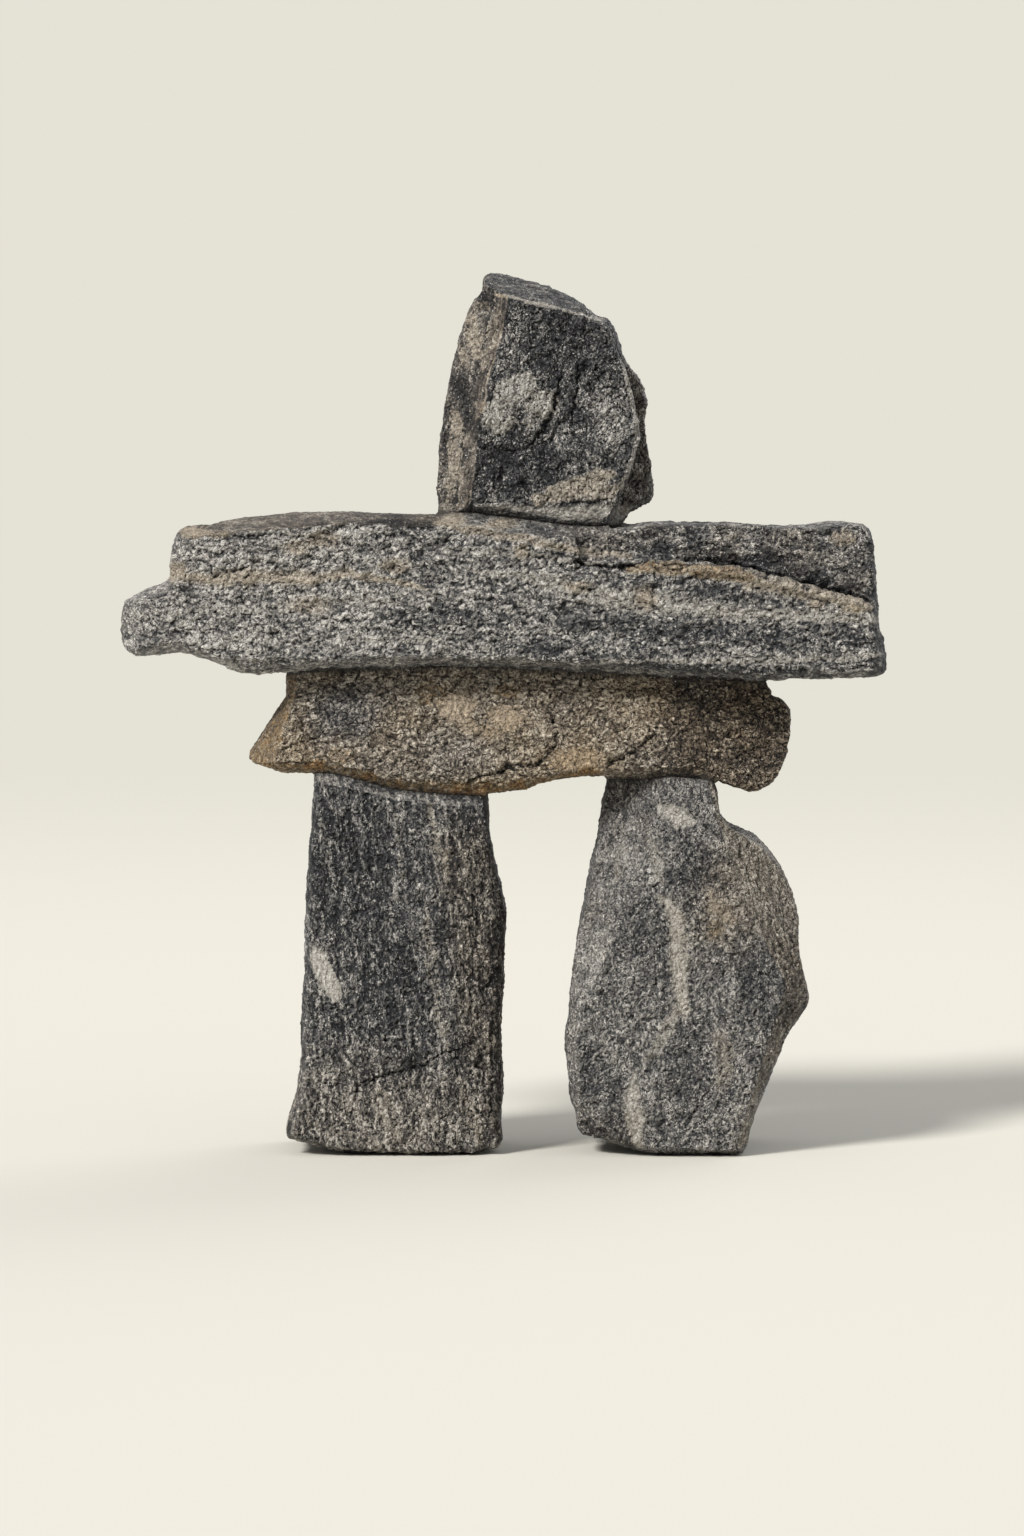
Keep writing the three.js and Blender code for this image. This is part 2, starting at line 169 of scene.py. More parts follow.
def line_gap(P, pts, wander=0.0, wsize=3.0, seed=5):
    """Distance in x, z from a polyline whose points are [x, z], and how far along it the nearest point is, 0 to 1."""
    x, z = P[:, 0].copy(), P[:, 2].copy()
    if wander:
        x += wander * perlin(P, wsize, seed)
        z += wander * perlin(P, wsize, seed + 1)
    pts = np.array(pts, float)
    seg = np.hypot(*(pts[1:] - pts[:-1]).T)
    run = np.concatenate([[0], np.cumsum(seg)])
    best, along = np.full(len(P), 1e9), np.zeros(len(P))
    for k in range(len(seg)):
        ax, az = pts[k]
        bx, bz = pts[k + 1] - pts[k]
        t = np.clip(((x - ax) * bx + (z - az) * bz) / (seg[k] ** 2), 0, 1)
        d = np.hypot(x - ax - t * bx, z - az - t * bz)
        near = d < best
        best = np.where(near, d, best)
        along = np.where(near, (run[k] + t * seg[k]) / run[-1], along)
    return best, along


def band(P, pts, half, soft=0.5, wander=0.5, seed=5, wsize=3.0):
    """1 within half mm of a polyline, with half a number or one number for each of its points."""
    d, along = line_gap(P, pts, wander, wsize, seed)
    if np.ndim(half):
        half = np.interp(along, np.linspace(0, 1, len(half)), half)
    return 1 - ramp(d / half, 1 - soft, 1 + soft)


def px(*pts):
    """Drawing coordinates of the front view, 5 to a millimetre, as [x, z] in mm."""
    return [((x - 503.5) * 0.2 + 0.05, (1150 - y) * 0.2) for x, y in pts]


# ------------------------------------------------------------------ meshes


def read_mesh(mesh):
    v = np.empty(len(mesh.vertices) * 3)
    mesh.vertices.foreach_get("co", v)
    return v.reshape(-1, 3) * 1000.0


def edges_of(mesh):
    e = np.empty(len(mesh.edges) * 2, np.int64)
    mesh.edges.foreach_get("vertices", e)
    return e.reshape(-1, 2)


def normals_of(mesh):
    n = np.empty(len(mesh.vertices) * 3)
    mesh.vertices.foreach_get("normal", n)
    return n.reshape(-1, 3)


def smoothed(values, e, steps, lam=0.6):
    n = len(values)
    deg = np.bincount(e.ravel(), minlength=n).astype(float)
    deg[deg == 0] = 1
    flat = values.ndim == 1
    v = values[:, None].copy() if flat else values.copy()
    for _ in range(steps):
        avg = np.empty_like(v)
        for k in range(v.shape[1]):
            avg[:, k] = (
                np.bincount(e[:, 0], v[e[:, 1], k], n) + np.bincount(e[:, 1], v[e[:, 0], k], n)
            ) / deg
        v += lam * (avg - v)
    return v[:, 0] if flat else v


def fine_mesh(node, voxel, split_front):
    """The CAD stone as an even net of quads, with the faces towards the front split once more."""
    src = frame["nodes"][node] if isinstance(frame["nodes"], dict) else bpy.data.objects[node]
    work = bpy.data.objects.new("work", src.data.copy())
    bpy.context.scene.collection.objects.link(work)
    mod = work.modifiers.new("remesh", "REMESH")
    mod.mode = "VOXEL"
    mod.voxel_size = voxel / 1000.0
    mod.adaptivity = 0.0
    mod.use_smooth_shade = True
    dg = bpy.context.evaluated_depsgraph_get()
    mesh = bpy.data.meshes.new_from_object(work.evaluated_get(dg), depsgraph=dg)
    old = work.data
    bpy.data.objects.remove(work)
    bpy.data.meshes.remove(old)
    mesh.materials.clear()
    bm = bmesh.new()
    bm.from_mesh(mesh)
    bm.normal_update()
    pick = set()
    for f in bm.faces:
        if f.normal.y < split_front:
            pick.update(f.edges)
    if pick:
        bmesh.ops.subdivide_edges(bm, edges=list(pick), cuts=1, use_grid_fill=True)
    many = [f for f in bm.faces if len(f.verts) > 4]
    if many:
        bmesh.ops.triangulate(bm, faces=many)
    bm.to_mesh(mesh)
    bm.free()
    return mesh


def joint_gap(node, P, N, reach=3.0, inside=1.0):
    """How far up or down, in mm, each point that faces up or down is from the stone it lies against, and which way."""
    trees = []
    for other, ob in frame["nodes"].items():
        if other != node:
            v = read_mesh(ob.data)
            trees.append((BVHTree.FromPolygons(v.tolist(), [tuple(p.vertices) for p in ob.data.polygons]), v.min(0), v.max(0)))
    way = np.where(N[:, 2] > 0.3, 1.0, np.where(N[:, 2] < -0.3, -1.0, 0.0))
    gap = np.full(len(P), 99.0)
    for tree, lo, hi in trees:
        near = (
            (way != 0)
            & (P[:, 0] > lo[0]) & (P[:, 0] < hi[0]) & (P[:, 1] > lo[1]) & (P[:, 1] < hi[1])
            & (P[:, 2] > lo[2] - reach) & (P[:, 2] < hi[2] + reach)
        )
        for k in np.nonzero(near)[0]:
            w = way[k]
            start = Vector((P[k, 0], P[k, 1], P[k, 2] - w * inside))
            hit = tree.ray_cast(start, Vector((0, 0, w)), inside + reach)
            if hit[0] is not None:
                gap[k] = min(gap[k], hit[3] - inside)
    return gap, way


def put_attribute(mesh, name, columns):
    a = mesh.attributes.new(name, "FLOAT_COLOR", "POINT")
    data = np.ones((len(mesh.vertices), 4), np.float32)
    for k, c in enumerate(columns):
        data[:, k] = c
    a.data.foreach_set("color", data.ravel())


# ------------------------------------------------------------------ the marks on each stone
# Each returns a dict of masks at the vertices. P is in mm, N the smoothed normal. Marks drawn in the front view
# run into the stone and fade out behind its middle, and the sides and back have veins and stains of their own.


def facing(N, axis, a=0.25, b=0.6):
    return ramp(N @ (np.array(axis, float) / np.linalg.norm(axis)), a, b)


def blank(P):
    return {k: np.zeros(len(P)) for k in ("light", "ochre", "dark", "smooth", "brown", "groove", "lift", "tone")}


def fade(P, y0=2.0, y1=10.0):
    """1 at the front, 0 at the back."""
    return 1 - ramp(P[:, 1], y0, y1)


def stains(P, m, seed, light=0.5, ochre=0.45, weight=1.0):
    """Random veins and stains for the parts that no drawn mark covers."""
    back = weight * ramp(P[:, 1], 0.0, 9.0)
    warp = P + 3.0 * np.stack([fbm(P, 14, seed + k, 2) for k in range(3)], 1)
    vein = 1 - ramp(np.abs(fbm(warp, 17, seed + 5, 2)), 0.02, 0.07)
    m["light"] = np.maximum(m["light"], back * light * vein * ramp(fbm(P, 22, seed + 6, 2), 0.05, 0.3))
    m["ochre"] = np.maximum(m["ochre"], back * ochre * ramp(fbm(P, 12, seed + 7, 3), 0.28, 0.5))
    m["brown"] = np.maximum(m["brown"], back * 0.6 * ramp(fbm(P, 20, seed + 8, 2), 0.0, 0.4))
    return m


def head_marks(P, N):
    m = blank(P)
    f = fade(P)
    top = facing(N, (0, -0.35, 0.93), 0.88, 0.97)
    rim_pts = np.array(px((508, 303), (503, 328), (497, 353), (489, 378), (485, 403), (480, 424), (477, 453), (474, 481), (471, 503)))[::-1]
    u = np.interp(P[:, 2], rim_pts[:, 1], rim_pts[:, 0]) + 0.25 * perlin(P, 3.0, 30) - P[:, 0]  # mm left of the dark face's edge
    bevel = ramp(u, -0.12, 0.22) * f * (1 - top) * facing(N, (-0.8, -0.6, 0), 0.3, 0.7)
    foot = f * facing(N, (0, -1, 0), 0.2, 0.5) * (1 - ramp(P[:, 2] + 0.6 * perlin(P, 4, 31), 128.6, 130.2))
    front = facing(N, (0, -1, 0), 0.75, 0.95) * (1 - foot)
    m["bevel"], m["front"] = bevel, front
    # pale feldspar lobes in the middle of the dark face
    lobe = np.zeros(len(P))
    for cx, cy, rx, rz, t, k in (
        (515, 389, 4.2, 2.7, 12, 1.0), (541, 405, 3.0, 2.6, -20, 0.95), (495, 412, 3.0, 3.0, 35, 0.85),
        (505, 424, 3.4, 1.6, 30, 0.7), (524, 380, 2.4, 1.6, 0, 0.7), (533, 420, 3.0, 1.3, 25, 0.45),
    ):
        (x, z), = px((cx, cy))
        lobe = np.maximum(lobe, k * blob(P, x, z, rx, rz, t, 0.45, 0.55, 40 + int(cx), 1.9))
    m["light"] = np.maximum(m["light"], lobe * f)
    # the pale wedge at the lower right
    wedge = np.maximum(
        band(P, px((536, 498), (560, 492), (585, 484), (606, 473)), (1.0, 2.0, 2.6, 1.4), 0.45, 1.2, 61, 2.2),
        0.9 * blob(P, *px((600, 491))[0], 4.4, 1.7, 12, 0.4, 0.5, 63, 2.0),
    )
    m["light"] = np.maximum(m["light"], 0.85 * wedge * f)
    m["brown"] = np.maximum(m["brown"], 0.55 * wedge * f)
    # painted glints: a paler tone where flakes glint right of the middle, and a dark field low on the left
    m["tone"] += 0.55 * blob(P, *px((612, 412))[0], 3.6, 5.4, 20, 0.6, 0.4, 66, 2.5) * f
    m["tone"] += 0.30 * blob(P, *px((505, 352))[0], 4.0, 4.0, 0, 0.6, 0.4, 67, 2.5) * f
    m["tone"] += 0.25 * blob(P, *px((590, 440))[0], 5.0, 4.0, 40, 0.6, 0.4, 68, 2.5) * f
    m["dark"] = np.maximum(m["dark"], 0.5 * blob(P, *px((510, 462))[0], 8.5, 5.0, 10, 0.6, 0.35, 69, 4) * f * front)
    m["dark"] = np.maximum(m["dark"], 0.35 * blob(P, *px((575, 350))[0], 6.0, 7.0, 60, 0.6, 0.35, 70, 4) * f * front)
    # pale lines along the edges of the dark face
    rim = np.maximum(
        band(P, px((621, 360), (629, 392), (636, 425), (637, 437), (630, 460), (621, 484), (613, 500)), 0.48, 0.6, 0.25, 71),
        0.8 * band(P, px((488, 295), (512, 297), (541, 305), (581, 315), (600, 319)), 0.42, 0.6, 0.2, 73),
    )
    rim *= 1 - ramp(P[:, 1] + 2.5 * perlin(P, 4, 74), -17.5, -13.5)
    m["light"] = np.maximum(m["light"], 0.85 * rim * f)
    # the left bevel: pale and dark lobes outside, a streaky brown stripe along the dark face
    stripe = bevel * (1 - ramp(u, 2.1, 2.9))
    m["brown"] = np.maximum(m["brown"], np.maximum(bevel * 0.6, stripe * 0.95))
    m["tone"] += 0.20 * bevel - 0.12 * stripe * ramp(P[:, 2], 150, 160)
    lines = perlin(np.stack([u, P[:, 1] * 0.1, P[:, 2] * 0.07], 1), 0.42, 78) + 0.5 * perlin(np.stack([u, P[:, 1] * 0.1, P[:, 2] * 0.12], 1), 0.22, 79)
    m["tone"] += stripe * (0.04 + 0.55 * lines)
    m["lift"] += stripe * 0.30 * lines
    for cx, cy, rx, rz, t, k in (
        (474, 338, 1.5, 5.2, 12, 0.8), (464, 356, 1.2, 3.0, 12, 0.6), (456, 424, 1.5, 3.2, 8, 0.75),
        (454, 458, 1.5, 4.6, 4, 0.75), (449, 488, 1.3, 3.4, 0, 0.6), (482, 308, 1.6, 1.2, 0, 0.4),
    ):
        (x, z), = px((cx, cy))
        m["light"] = np.maximum(m["light"], 0.78 * k * bevel * blob(P, x, z, rx, rz, t, 0.45, 0.6, 140 + cy, 1.8))
    for cx, cy, rx, rz, t, k in (
        (459, 386, 1.6, 3.2, 10, 0.75), (468, 405, 0.9, 7.0, 9, 0.6), (484, 300, 1.8, 1.6, 0, 0.7), (446, 446, 0.9, 3.5, 5, 0.5),
        (460, 500, 1.2, 2.4, 0, 0.35),
    ):
        (x, z), = px((cx, cy))
        m["dark"] = np.maximum(m["dark"], k * bevel * blob(P, x, z, rx, rz, t, 0.5, 0.6, 160 + cy, 1.8))
    m["light"] = np.maximum(m["light"], 0.55 * bevel * (1 - ramp(np.abs(u - 2.7), 0.12, 0.35)) * ramp(perlin(P, 5, 80), -0.4, 0.1))
    m["light"] = np.maximum(m["light"], 0.30 * bevel * (1 - ramp(np.abs(u - 0.30), 0.08, 0.25)) * ramp(perlin(P, 4, 84), -0.5, 0.2))
    m["dark"] = np.maximum(m["dark"], 0.7 * (1 - ramp(np.abs(u + 0.15), 0.12, 0.40)) * f * (1 - top))
    m["dark"] = np.maximum(m["dark"], 0.6 * bevel * (1 - ramp(np.abs(u - 3.2), 0.15, 0.5)))
    m["smooth"] = np.maximum(m["smooth"], 0.50 * bevel + 0.45 * stripe)
    m["smooth"] = np.maximum(m["smooth"], 0.75 * top)
    # the foot strip under the face: its own pale streaks, smoother, and a paler tone that is painted light on an
    # undercut strip lying in shade
    m["smooth"] = np.maximum(m["smooth"], 0.8 * foot)
    m["tone"] += 0.85 * foot + 0.10 * top
    m["light"] = np.maximum(m["light"], 0.40 * foot)
    m["brown"] = np.maximum(m["brown"], 0.3 * top * (1 - f * 0.3))
    rear = ramp(P[:, 0], 22.5, 24.5) * ramp(P[:, 1], -14.5, -11.5)
    m["brown"] = np.maximum(m["brown"], 0.7 * rear)
    m["tone"] += 0.18 * rear
    # splits in the face
    for pts, w, k, s in (
        (px((561, 366), (559, 380), (556, 396), (552, 412), (545, 424), (538, 436), (528, 447)), (0.15, 0.28, 0.36, 0.42, 0.40, 0.30, 0.15), 1.1, 81),
        (px((578, 366), (577, 380), (575, 394), (572, 412), (571, 425)), (0.12, 0.26, 0.32, 0.26, 0.12), 0.9, 82),
        (px((556, 372), (545, 383), (534, 392), (526, 402)), (0.15, 0.22, 0.22, 0.12), 0.45, 83),
        (px((604, 371), (590, 384), (578, 390)), (0.25, 0.35, 0.2), 0.5, 84),
        (px((566, 500), (590, 501), (612, 496)), (0.25, 0.35, 0.25), 0.6, 85),
        (px((480, 446), (500, 449), (517, 449), (526, 445)), (0.2, 0.35, 0.35, 0.2), 0.55, 86),
    ):
        m["groove"] = np.maximum(m["groove"], k * band(P, pts, w, 0.8, 0.55, s, 1.5) * f * facing(N, (0, -1, 0), 0.3, 0.6))
    # the face is dished round the splits and swells to their right
    m["lift"] += f * front * (
        0.8 * blob(P, *px((600, 402))[0], 4.6, 7.5, 10, 0.8, 0.15, 87, 6)
        + 0.5 * blob(P, *px((528, 395))[0], 6.0, 5.0, 0, 0.8, 0.15, 88, 6)
        - 0.7 * blob(P, *px((556, 425))[0], 3.0, 7.0, -35, 0.8, 0.15, 89, 6)
        - 0.5 * blob(P, *px((512, 445))[0], 6.5, 2.6, 8, 0.8, 0.15, 90, 6)
    )
    return stains(P, m, 101)


def arm_marks(P, N):
    m = blank(P)
    f = fade(P, 4, 14)
    face = facing(N, (0, -1, 0), 0.3, 0.7)
    top = facing(N, (0, -0.2, 1), 0.6, 0.85)
    right = ramp(P[:, 0], 71.5, 74.0)
    upper = (P[:, 0] > 14) & (P[:, 2] > np.interp(P[:, 0], [16.5, 28.3, 41.1, 44.7, 53.7, 62.5, 70.5, 82], [118.6, 119.1, 118.5, 117.3, 114.7, 112.5, 110.2, 107.4]))
    upper = upper.astype(float) * face
    m["face"] = face
    # warm seams and pale bands along the bedding
    for pts, w, k, key, s in (
        (px((172, 571), (215, 577), (260, 572), (300, 576), (350, 571), (400, 579), (430, 584)), (1.3, 1.1, 1.5, 1.3, 1.0, 0.7, 0.3), 0.80, "warm", 201),
        (px((470, 566), (520, 573), (560, 582), (620, 596), (680, 603), (740, 611), (800, 611), (872, 616)), (0.4, 0.9, 1.8, 2.0, 1.4, 1.0, 1.0, 0.9), 0.70, "pale", 202),
        (px((745, 578), (790, 587), (830, 595), (866, 604)), (1.6, 1.5, 1.2, 0.8), 0.74, "warm", 203),
        (px((600, 657), (680, 656), (760, 657), (830, 654), (880, 650)), (0.4, 0.7, 0.8, 0.7, 0.5), 0.55, "pale", 204),
        (px((436, 520), (480, 529), (515, 534), (555, 544), (600, 550), (628, 553)), (0.5, 1.0, 0.9, 0.9, 0.7, 0.4), 0.72, "warm", 205),
        (px((440, 545), (500, 551), (560, 556), (600, 560)), (0.3, 0.7, 0.7, 0.3), 0.40, "pale", 206),
        (px((130, 610), (200, 607), (290, 604), (360, 597), (430, 602)), (0.8, 0.9, 1.3, 1.0, 0.5), 0.34, "pale", 207),
        (px((200, 634), (300, 638), (400, 634), (470, 640)), (0.6, 0.9, 0.9, 0.5), 0.28, "pale", 208),
        (px((700, 536), (760, 533), (800, 531)), (0.4, 0.7, 0.4), 0.35, "pale", 209),
    ):
        b = k * band(P, pts, w, 0.75, 0.7, s, 3.2) * f
        m["light"] = np.maximum(m["light"], b)
        m["tone"] += 0.22 * b
        if key == "warm":
            m["brown"] = np.maximum(m["brown"], 0.9 * b)
    ledge = band(P, px((626, 567), (650, 563), (690, 566), (720, 569), (748, 577)), (0.6, 1.5, 1.4, 1.6, 0.7), 0.4, 0.35, 211, 2.5) * f
    m["light"] = np.maximum(m["light"], 0.75 * ledge)
    m["ochre"] = np.maximum(m["ochre"], 0.85 * ledge)
    # knots of feldspar
    for cx, cy, rx, rz, k, o, s in (
        (454, 518, 2.6, 1.2, 0.95, 0.45, 221), (522, 549, 1.6, 1.5, 0.85, 0.35, 222), (198, 530, 3.4, 1.1, 0.75, 0.5, 223),
        (180, 566, 2.4, 1.5, 0.55, 0.5, 224), (303, 573, 3.0, 1.4, 0.62, 0.2, 225), (253, 575, 3.0, 1.5, 0.55, 0.35, 226),
        (500, 522, 3.4, 0.8, 0.65, 0.4, 227), (312, 601, 4.0, 1.8, 0.40, 0.0, 228), (840, 536, 3.0, 1.6, 0.50, 0.1, 229),
        (577, 583, 2.4, 1.2, 0.55, 0.1, 230), (643, 594, 2.2, 2.6, 0.45, 0.0, 231), (222, 531, 2.6, 1.0, 0.3, 0.5, 232),
        (300, 545, 3.2, 1.6, 0.3, 0.35, 233), (812, 600, 2.0, 1.2, 0.5, 0.4, 234), (848, 605, 2.4, 1.0, 0.6, 0.6, 235),
        (398, 563, 3.0, 1.6, 0.45, 0.25, 236), (325, 537, 3.6, 1.8, 0.5, 0.25, 237),
    ):
        (x, z), = px((cx, cy))
        b = blob(P, x, z, rx, rz, 0, 0.45, 0.45, s, 1.8) * f
        m["light"] = np.maximum(m["light"], k * b)
        m["ochre"] = np.maximum(m["ochre"], 0.5 * o * b)
        m["brown"] = np.maximum(m["brown"], 0.7 * b)
    # dark mica-rich bands
    for pts, w, k, s in (
        (px((380, 612), (415, 616), (450, 612), (480, 618)), (0.6, 2.2, 2.2, 0.8), 0.42, 241),
        (px((560, 622), (620, 620), (680, 626), (760, 634), (860, 634)), (1.0, 2.2, 2.0, 1.6, 1.2), 0.40, 242),
        (px((690, 588), (730, 592), (770, 597)), (0.5, 1.1, 0.6), 0.45, 243),
        (px((500, 645), (600, 652), (700, 668), (800, 668)), (0.8, 1.2, 1.2, 0.8), 0.35, 244),
        (px((620, 545), (680, 548), (760, 556), (850, 590)), (1.0, 1.6, 1.8, 1.5), 0.5, 245),
        (px((370, 520), (400, 518), (430, 524)), (0.5, 1.2, 0.6), 0.55, 246),
    ):
        m["dark"] = np.maximum(m["dark"], 1.25 * k * band(P, pts, w, 0.9, 0.9, s, 4) * f)
    m["dark"] = np.maximum(m["dark"], 0.14 * upper)
    m["brown"] = np.maximum(m["brown"], 0.45 * upper * ramp(fbm(P, 9, 251, 2), -0.2, 0.3))
    m["dark"] = np.maximum(m["dark"], 0.55 * right * f)
    m["brown"] = np.maximum(m["brown"], 0.4 * blob(P, *px((590, 540))[0], 9, 3.0, 0, 0.6, 0.35, 252, 3) * f)
    m["tone"] += f * 0.24 * (1 - ramp(P[:, 0], -50, 30)) - 0.02 * upper
    strip = top * (1 - ramp(P[:, 0], -14, -6)) * ramp(P[:, 2], 119, 121)
    m["smooth"] = np.maximum(m["smooth"], 0.8 * strip)
    m["brown"] = np.maximum(m["brown"], 0.85 * strip)
    m["tone"] -= 0.30 * strip
    m["smooth"] = np.maximum(m["smooth"], 0.45 * top * ramp(P[:, 2], 119, 121))
    for pts, w, k, s in (
        (px((575, 558), (600, 563), (620, 564), (645, 557), (674, 559), (709, 557), (727, 561), (745, 567), (772, 574), (816, 585), (843, 590), (866, 599)), (0.2, 0.35, 0.45, 0.6, 0.6, 0.6, 0.70, 0.7, 0.7, 0.7, 0.6, 0.5), 1.8, 261),
        (px((219, 574), (236, 568), (256, 563)), (0.2, 0.45, 0.2), 0.8, 262),
        (px((278, 572), (292, 569), (306, 564)), (0.2, 0.45, 0.2), 0.8, 263),
        (px((306, 562), (318, 570), (328, 580)), (0.2, 0.4, 0.2), 0.6, 264),
        (px((217, 530), (250, 534), (276, 531), (300, 534), (328, 531), (350, 519), (366, 515)), (0.2, 0.3, 0.35, 0.3, 0.3, 0.4, 0.2), 0.7, 265),
        (px((386, 533), (402, 530), (428, 518)), (0.3, 0.5, 0.3), 0.7, 266),
        (px((568, 582), (580, 586), (596, 587)), (0.2, 0.35, 0.2), 0.6, 267),
        (px((125, 641), (165, 645), (205, 651), (225, 656)), (0.2, 0.35, 0.35, 0.2), 0.7, 268),
        (px((630, 535), (700, 541), (760, 548), (830, 566), (862, 570)), (0.15, 0.3, 0.3, 0.3, 0.15), 0.5, 269),
    ):
        m["groove"] = np.maximum(m["groove"], k * band(P, pts, w, 0.8, 0.6, s, 1.8) * f * face)
    # painted shade: the crack under the upper layer is painted dark over its groove
    crack = band(P, px((700, 555), (727, 559), (745, 565), (772, 572), (816, 583), (843, 588), (866, 597)), (0.2, 0.40, 0.50, 0.58, 0.56, 0.48, 0.28), 0.7, 0.4, 210) * f * face
    m["light"] *= 1 - crack
    m["ochre"] *= 1 - crack
    m["dark"] = np.maximum(m["dark"], 0.95 * crack)
    shelf = band(P, px((690, 566), (727, 567), (745, 572), (772, 579), (816, 590), (843, 595), (866, 604)), (0.3, 0.8, 0.9, 0.9, 0.9, 0.9, 0.5), 0.6, 0.3, 209)
    m["lift"] += 1.1 * shelf * (1 - upper) * f
    m["lift"] += f * face * (
        0.7 * blob(P, *px((368, 540))[0], 6.5, 4.0, 15, 0.8, 0.2, 271, 5)
        - 0.5 * blob(P, *px((325, 548))[0], 3.5, 5.0, 10, 0.8, 0.2, 272, 5)
        + 0.5 * blob(P, *px((232, 548))[0], 9.0, 2.6, 8, 0.8, 0.2, 273, 5)
        - 0.4 * blob(P, *px((410, 575))[0], 7.0, 1.6, 0, 0.8, 0.2, 274, 5)
    )
    return stains(P, m, 291)


def belt_marks(P, N):
    m = blank(P)
    f = fade(P, 3, 12)
    face = facing(N, (0, -1, 0), 0.3, 0.7)
    m["face"] = face
    m["brown"] += 0.78 + 0.30 * ramp(fbm(P, 14, 301, 2), -0.3, 0.3)
    for cx, cy, rx, rz, k, o, s in (
        (457, 703, 3.6, 3.2, 1.00, 0.16, 311), (466, 722, 2.6, 1.8, 0.75, 0.12, 317), (506, 714, 4.1, 2.5, 1.00, 0.22, 312), (488, 728, 3.0, 1.8, 0.6, 0.12, 313),
        (575, 756, 6.8, 2.6, 0.72, 0.15, 314), (587, 769, 2.6, 1.2, 0.5, 1.2, 315), (318, 761, 2.0, 1.1, 0.3, 1.2, 320), (508, 688, 3.2, 1.6, 0.30, 0.4, 316),
        (610, 760, 4.0, 1.2, 0.5, 0.1, 317), (345, 752, 4.0, 2.0, 0.25, 0.3, 318), (432, 690, 3.5, 2.5, 0.2, 0.35, 319),
    ):
        (x, z), = px((cx, cy))
        b = blob(P, x, z, rx, rz, 0, 0.55, 0.5, s, 2.2) * f
        m["light"] = np.maximum(m["light"], k * b)
        m["smooth"] = np.maximum(m["smooth"], 0.45 * ramp(k * b, 0.5, 0.9))
        m["ochre"] = np.maximum(m["ochre"], o * b)
    lip = px((247, 756), (274, 763), (300, 767), (341, 766), (363, 773), (396, 781), (424, 785), (470, 788), (512, 784), (539, 778), (577, 775), (600, 768))
    edge = band(P, lip, (1.4, 1.2, 1.2, 1.0, 1.2, 1.3, 1.5, 1.7, 1.6, 1.2, 1.4, 0.8), 0.7, 0.6, 321, 2.4) * fade(P, -2, 8)
    m["ochre"] = np.maximum(m["ochre"], 1.15 * edge * (0.35 + 0.65 * ramp(fbm(P, 4, 322, 2), -0.15, 0.25)))
    m["light"] = np.maximum(m["light"], 0.35 * edge * ramp(fbm(P, 3, 323, 2), 0.0, 0.3))
    m["dark"] = np.maximum(m["dark"], 0.45 * band(P, px((330, 775), (363, 779), (396, 787), (424, 790), (470, 793), (512, 790)), 0.7, 0.8, 0.5, 324) * f)
    blue = blob(P, *px((350, 708))[0], 6.6, 5.4, 20, 0.7, 0.4, 331, 3.5) * f
    m["dark"] = np.maximum(m["dark"], 0.38 * blue)
    m["brown"] *= 1 - 0.85 * blue
    grey = blob(P, *px((455, 750))[0], 9.0, 4.5, -10, 0.7, 0.4, 332, 3.5) * f
    m["brown"] *= 1 - 0.45 * grey
    end = ramp(P[:, 0] + 3 * perlin(P, 8, 333), 27, 36)
    m["dark"] = np.maximum(m["dark"], 0.50 * end)
    m["brown"] = np.maximum(m["brown"], 0.95 * end)
    left = facing(N, (-1, -0.6, 0.3), 0.72, 0.9) * (1 - ramp(P[:, 0], -42, -38))
    m["smooth"] = np.maximum(m["smooth"], 0.6 * left)
    m["light"] = np.maximum(m["light"], 0.12 * left)
    m["ochre"] = np.maximum(m["ochre"], 0.36 * left)
    m["brown"] = np.maximum(m["brown"], 1.0 * left)
    m["tone"] -= 0.10 * left
    for pts, w, k, s in (
        (px((284, 746), (300, 738), (314, 735), (328, 730)), (0.2, 0.4, 0.35, 0.2), 0.7, 341),
        (px((467, 781), (490, 770), (511, 762), (535, 760), (546, 752), (556, 739)), (0.25, 0.5, 0.5, 0.45, 0.5, 0.25), 1.1, 342),
        (px((556, 739), (556, 722), (548, 706)), (0.25, 0.4, 0.2), 0.9, 343),
        (px((606, 760), (622, 755), (640, 742), (654, 730)), (0.25, 0.4, 0.4, 0.2), 1.1, 344),
        (px((258, 762), (300, 759), (345, 765), (372, 772)), (0.2, 0.3, 0.35, 0.2), 0.9, 345),
        (px((396, 778), (430, 783), (462, 783)), (0.2, 0.4, 0.2), 0.7, 346),
        (px((700, 712), (722, 720), (735, 740)), (0.2, 0.35, 0.2), 0.5, 347),
        (px((416, 700), (438, 716), (452, 735)), (0.15, 0.3, 0.15), 0.4, 348),
    ):
        m["groove"] = np.maximum(m["groove"], k * band(P, pts, w, 0.8, 0.6, s, 1.7) * f * face)
    m["lift"] += f * face * (
        0.8 * blob(P, *px((590, 756))[0], 8.5, 2.6, 8, 0.7, 0.25, 351, 4)
        + 0.6 * blob(P, *px((370, 742))[0], 11, 4.0, -12, 0.8, 0.2, 352, 5)
        - 0.6 * blob(P, *px((545, 722))[0], 3.0, 6.0, 20, 0.8, 0.2, 353, 5)
        + 0.5 * blob(P, *px((735, 745))[0], 7, 5.0, 10, 0.8, 0.2, 354, 5)
    )
    return stains(P, m, 391, light=0.3, ochre=0.7)


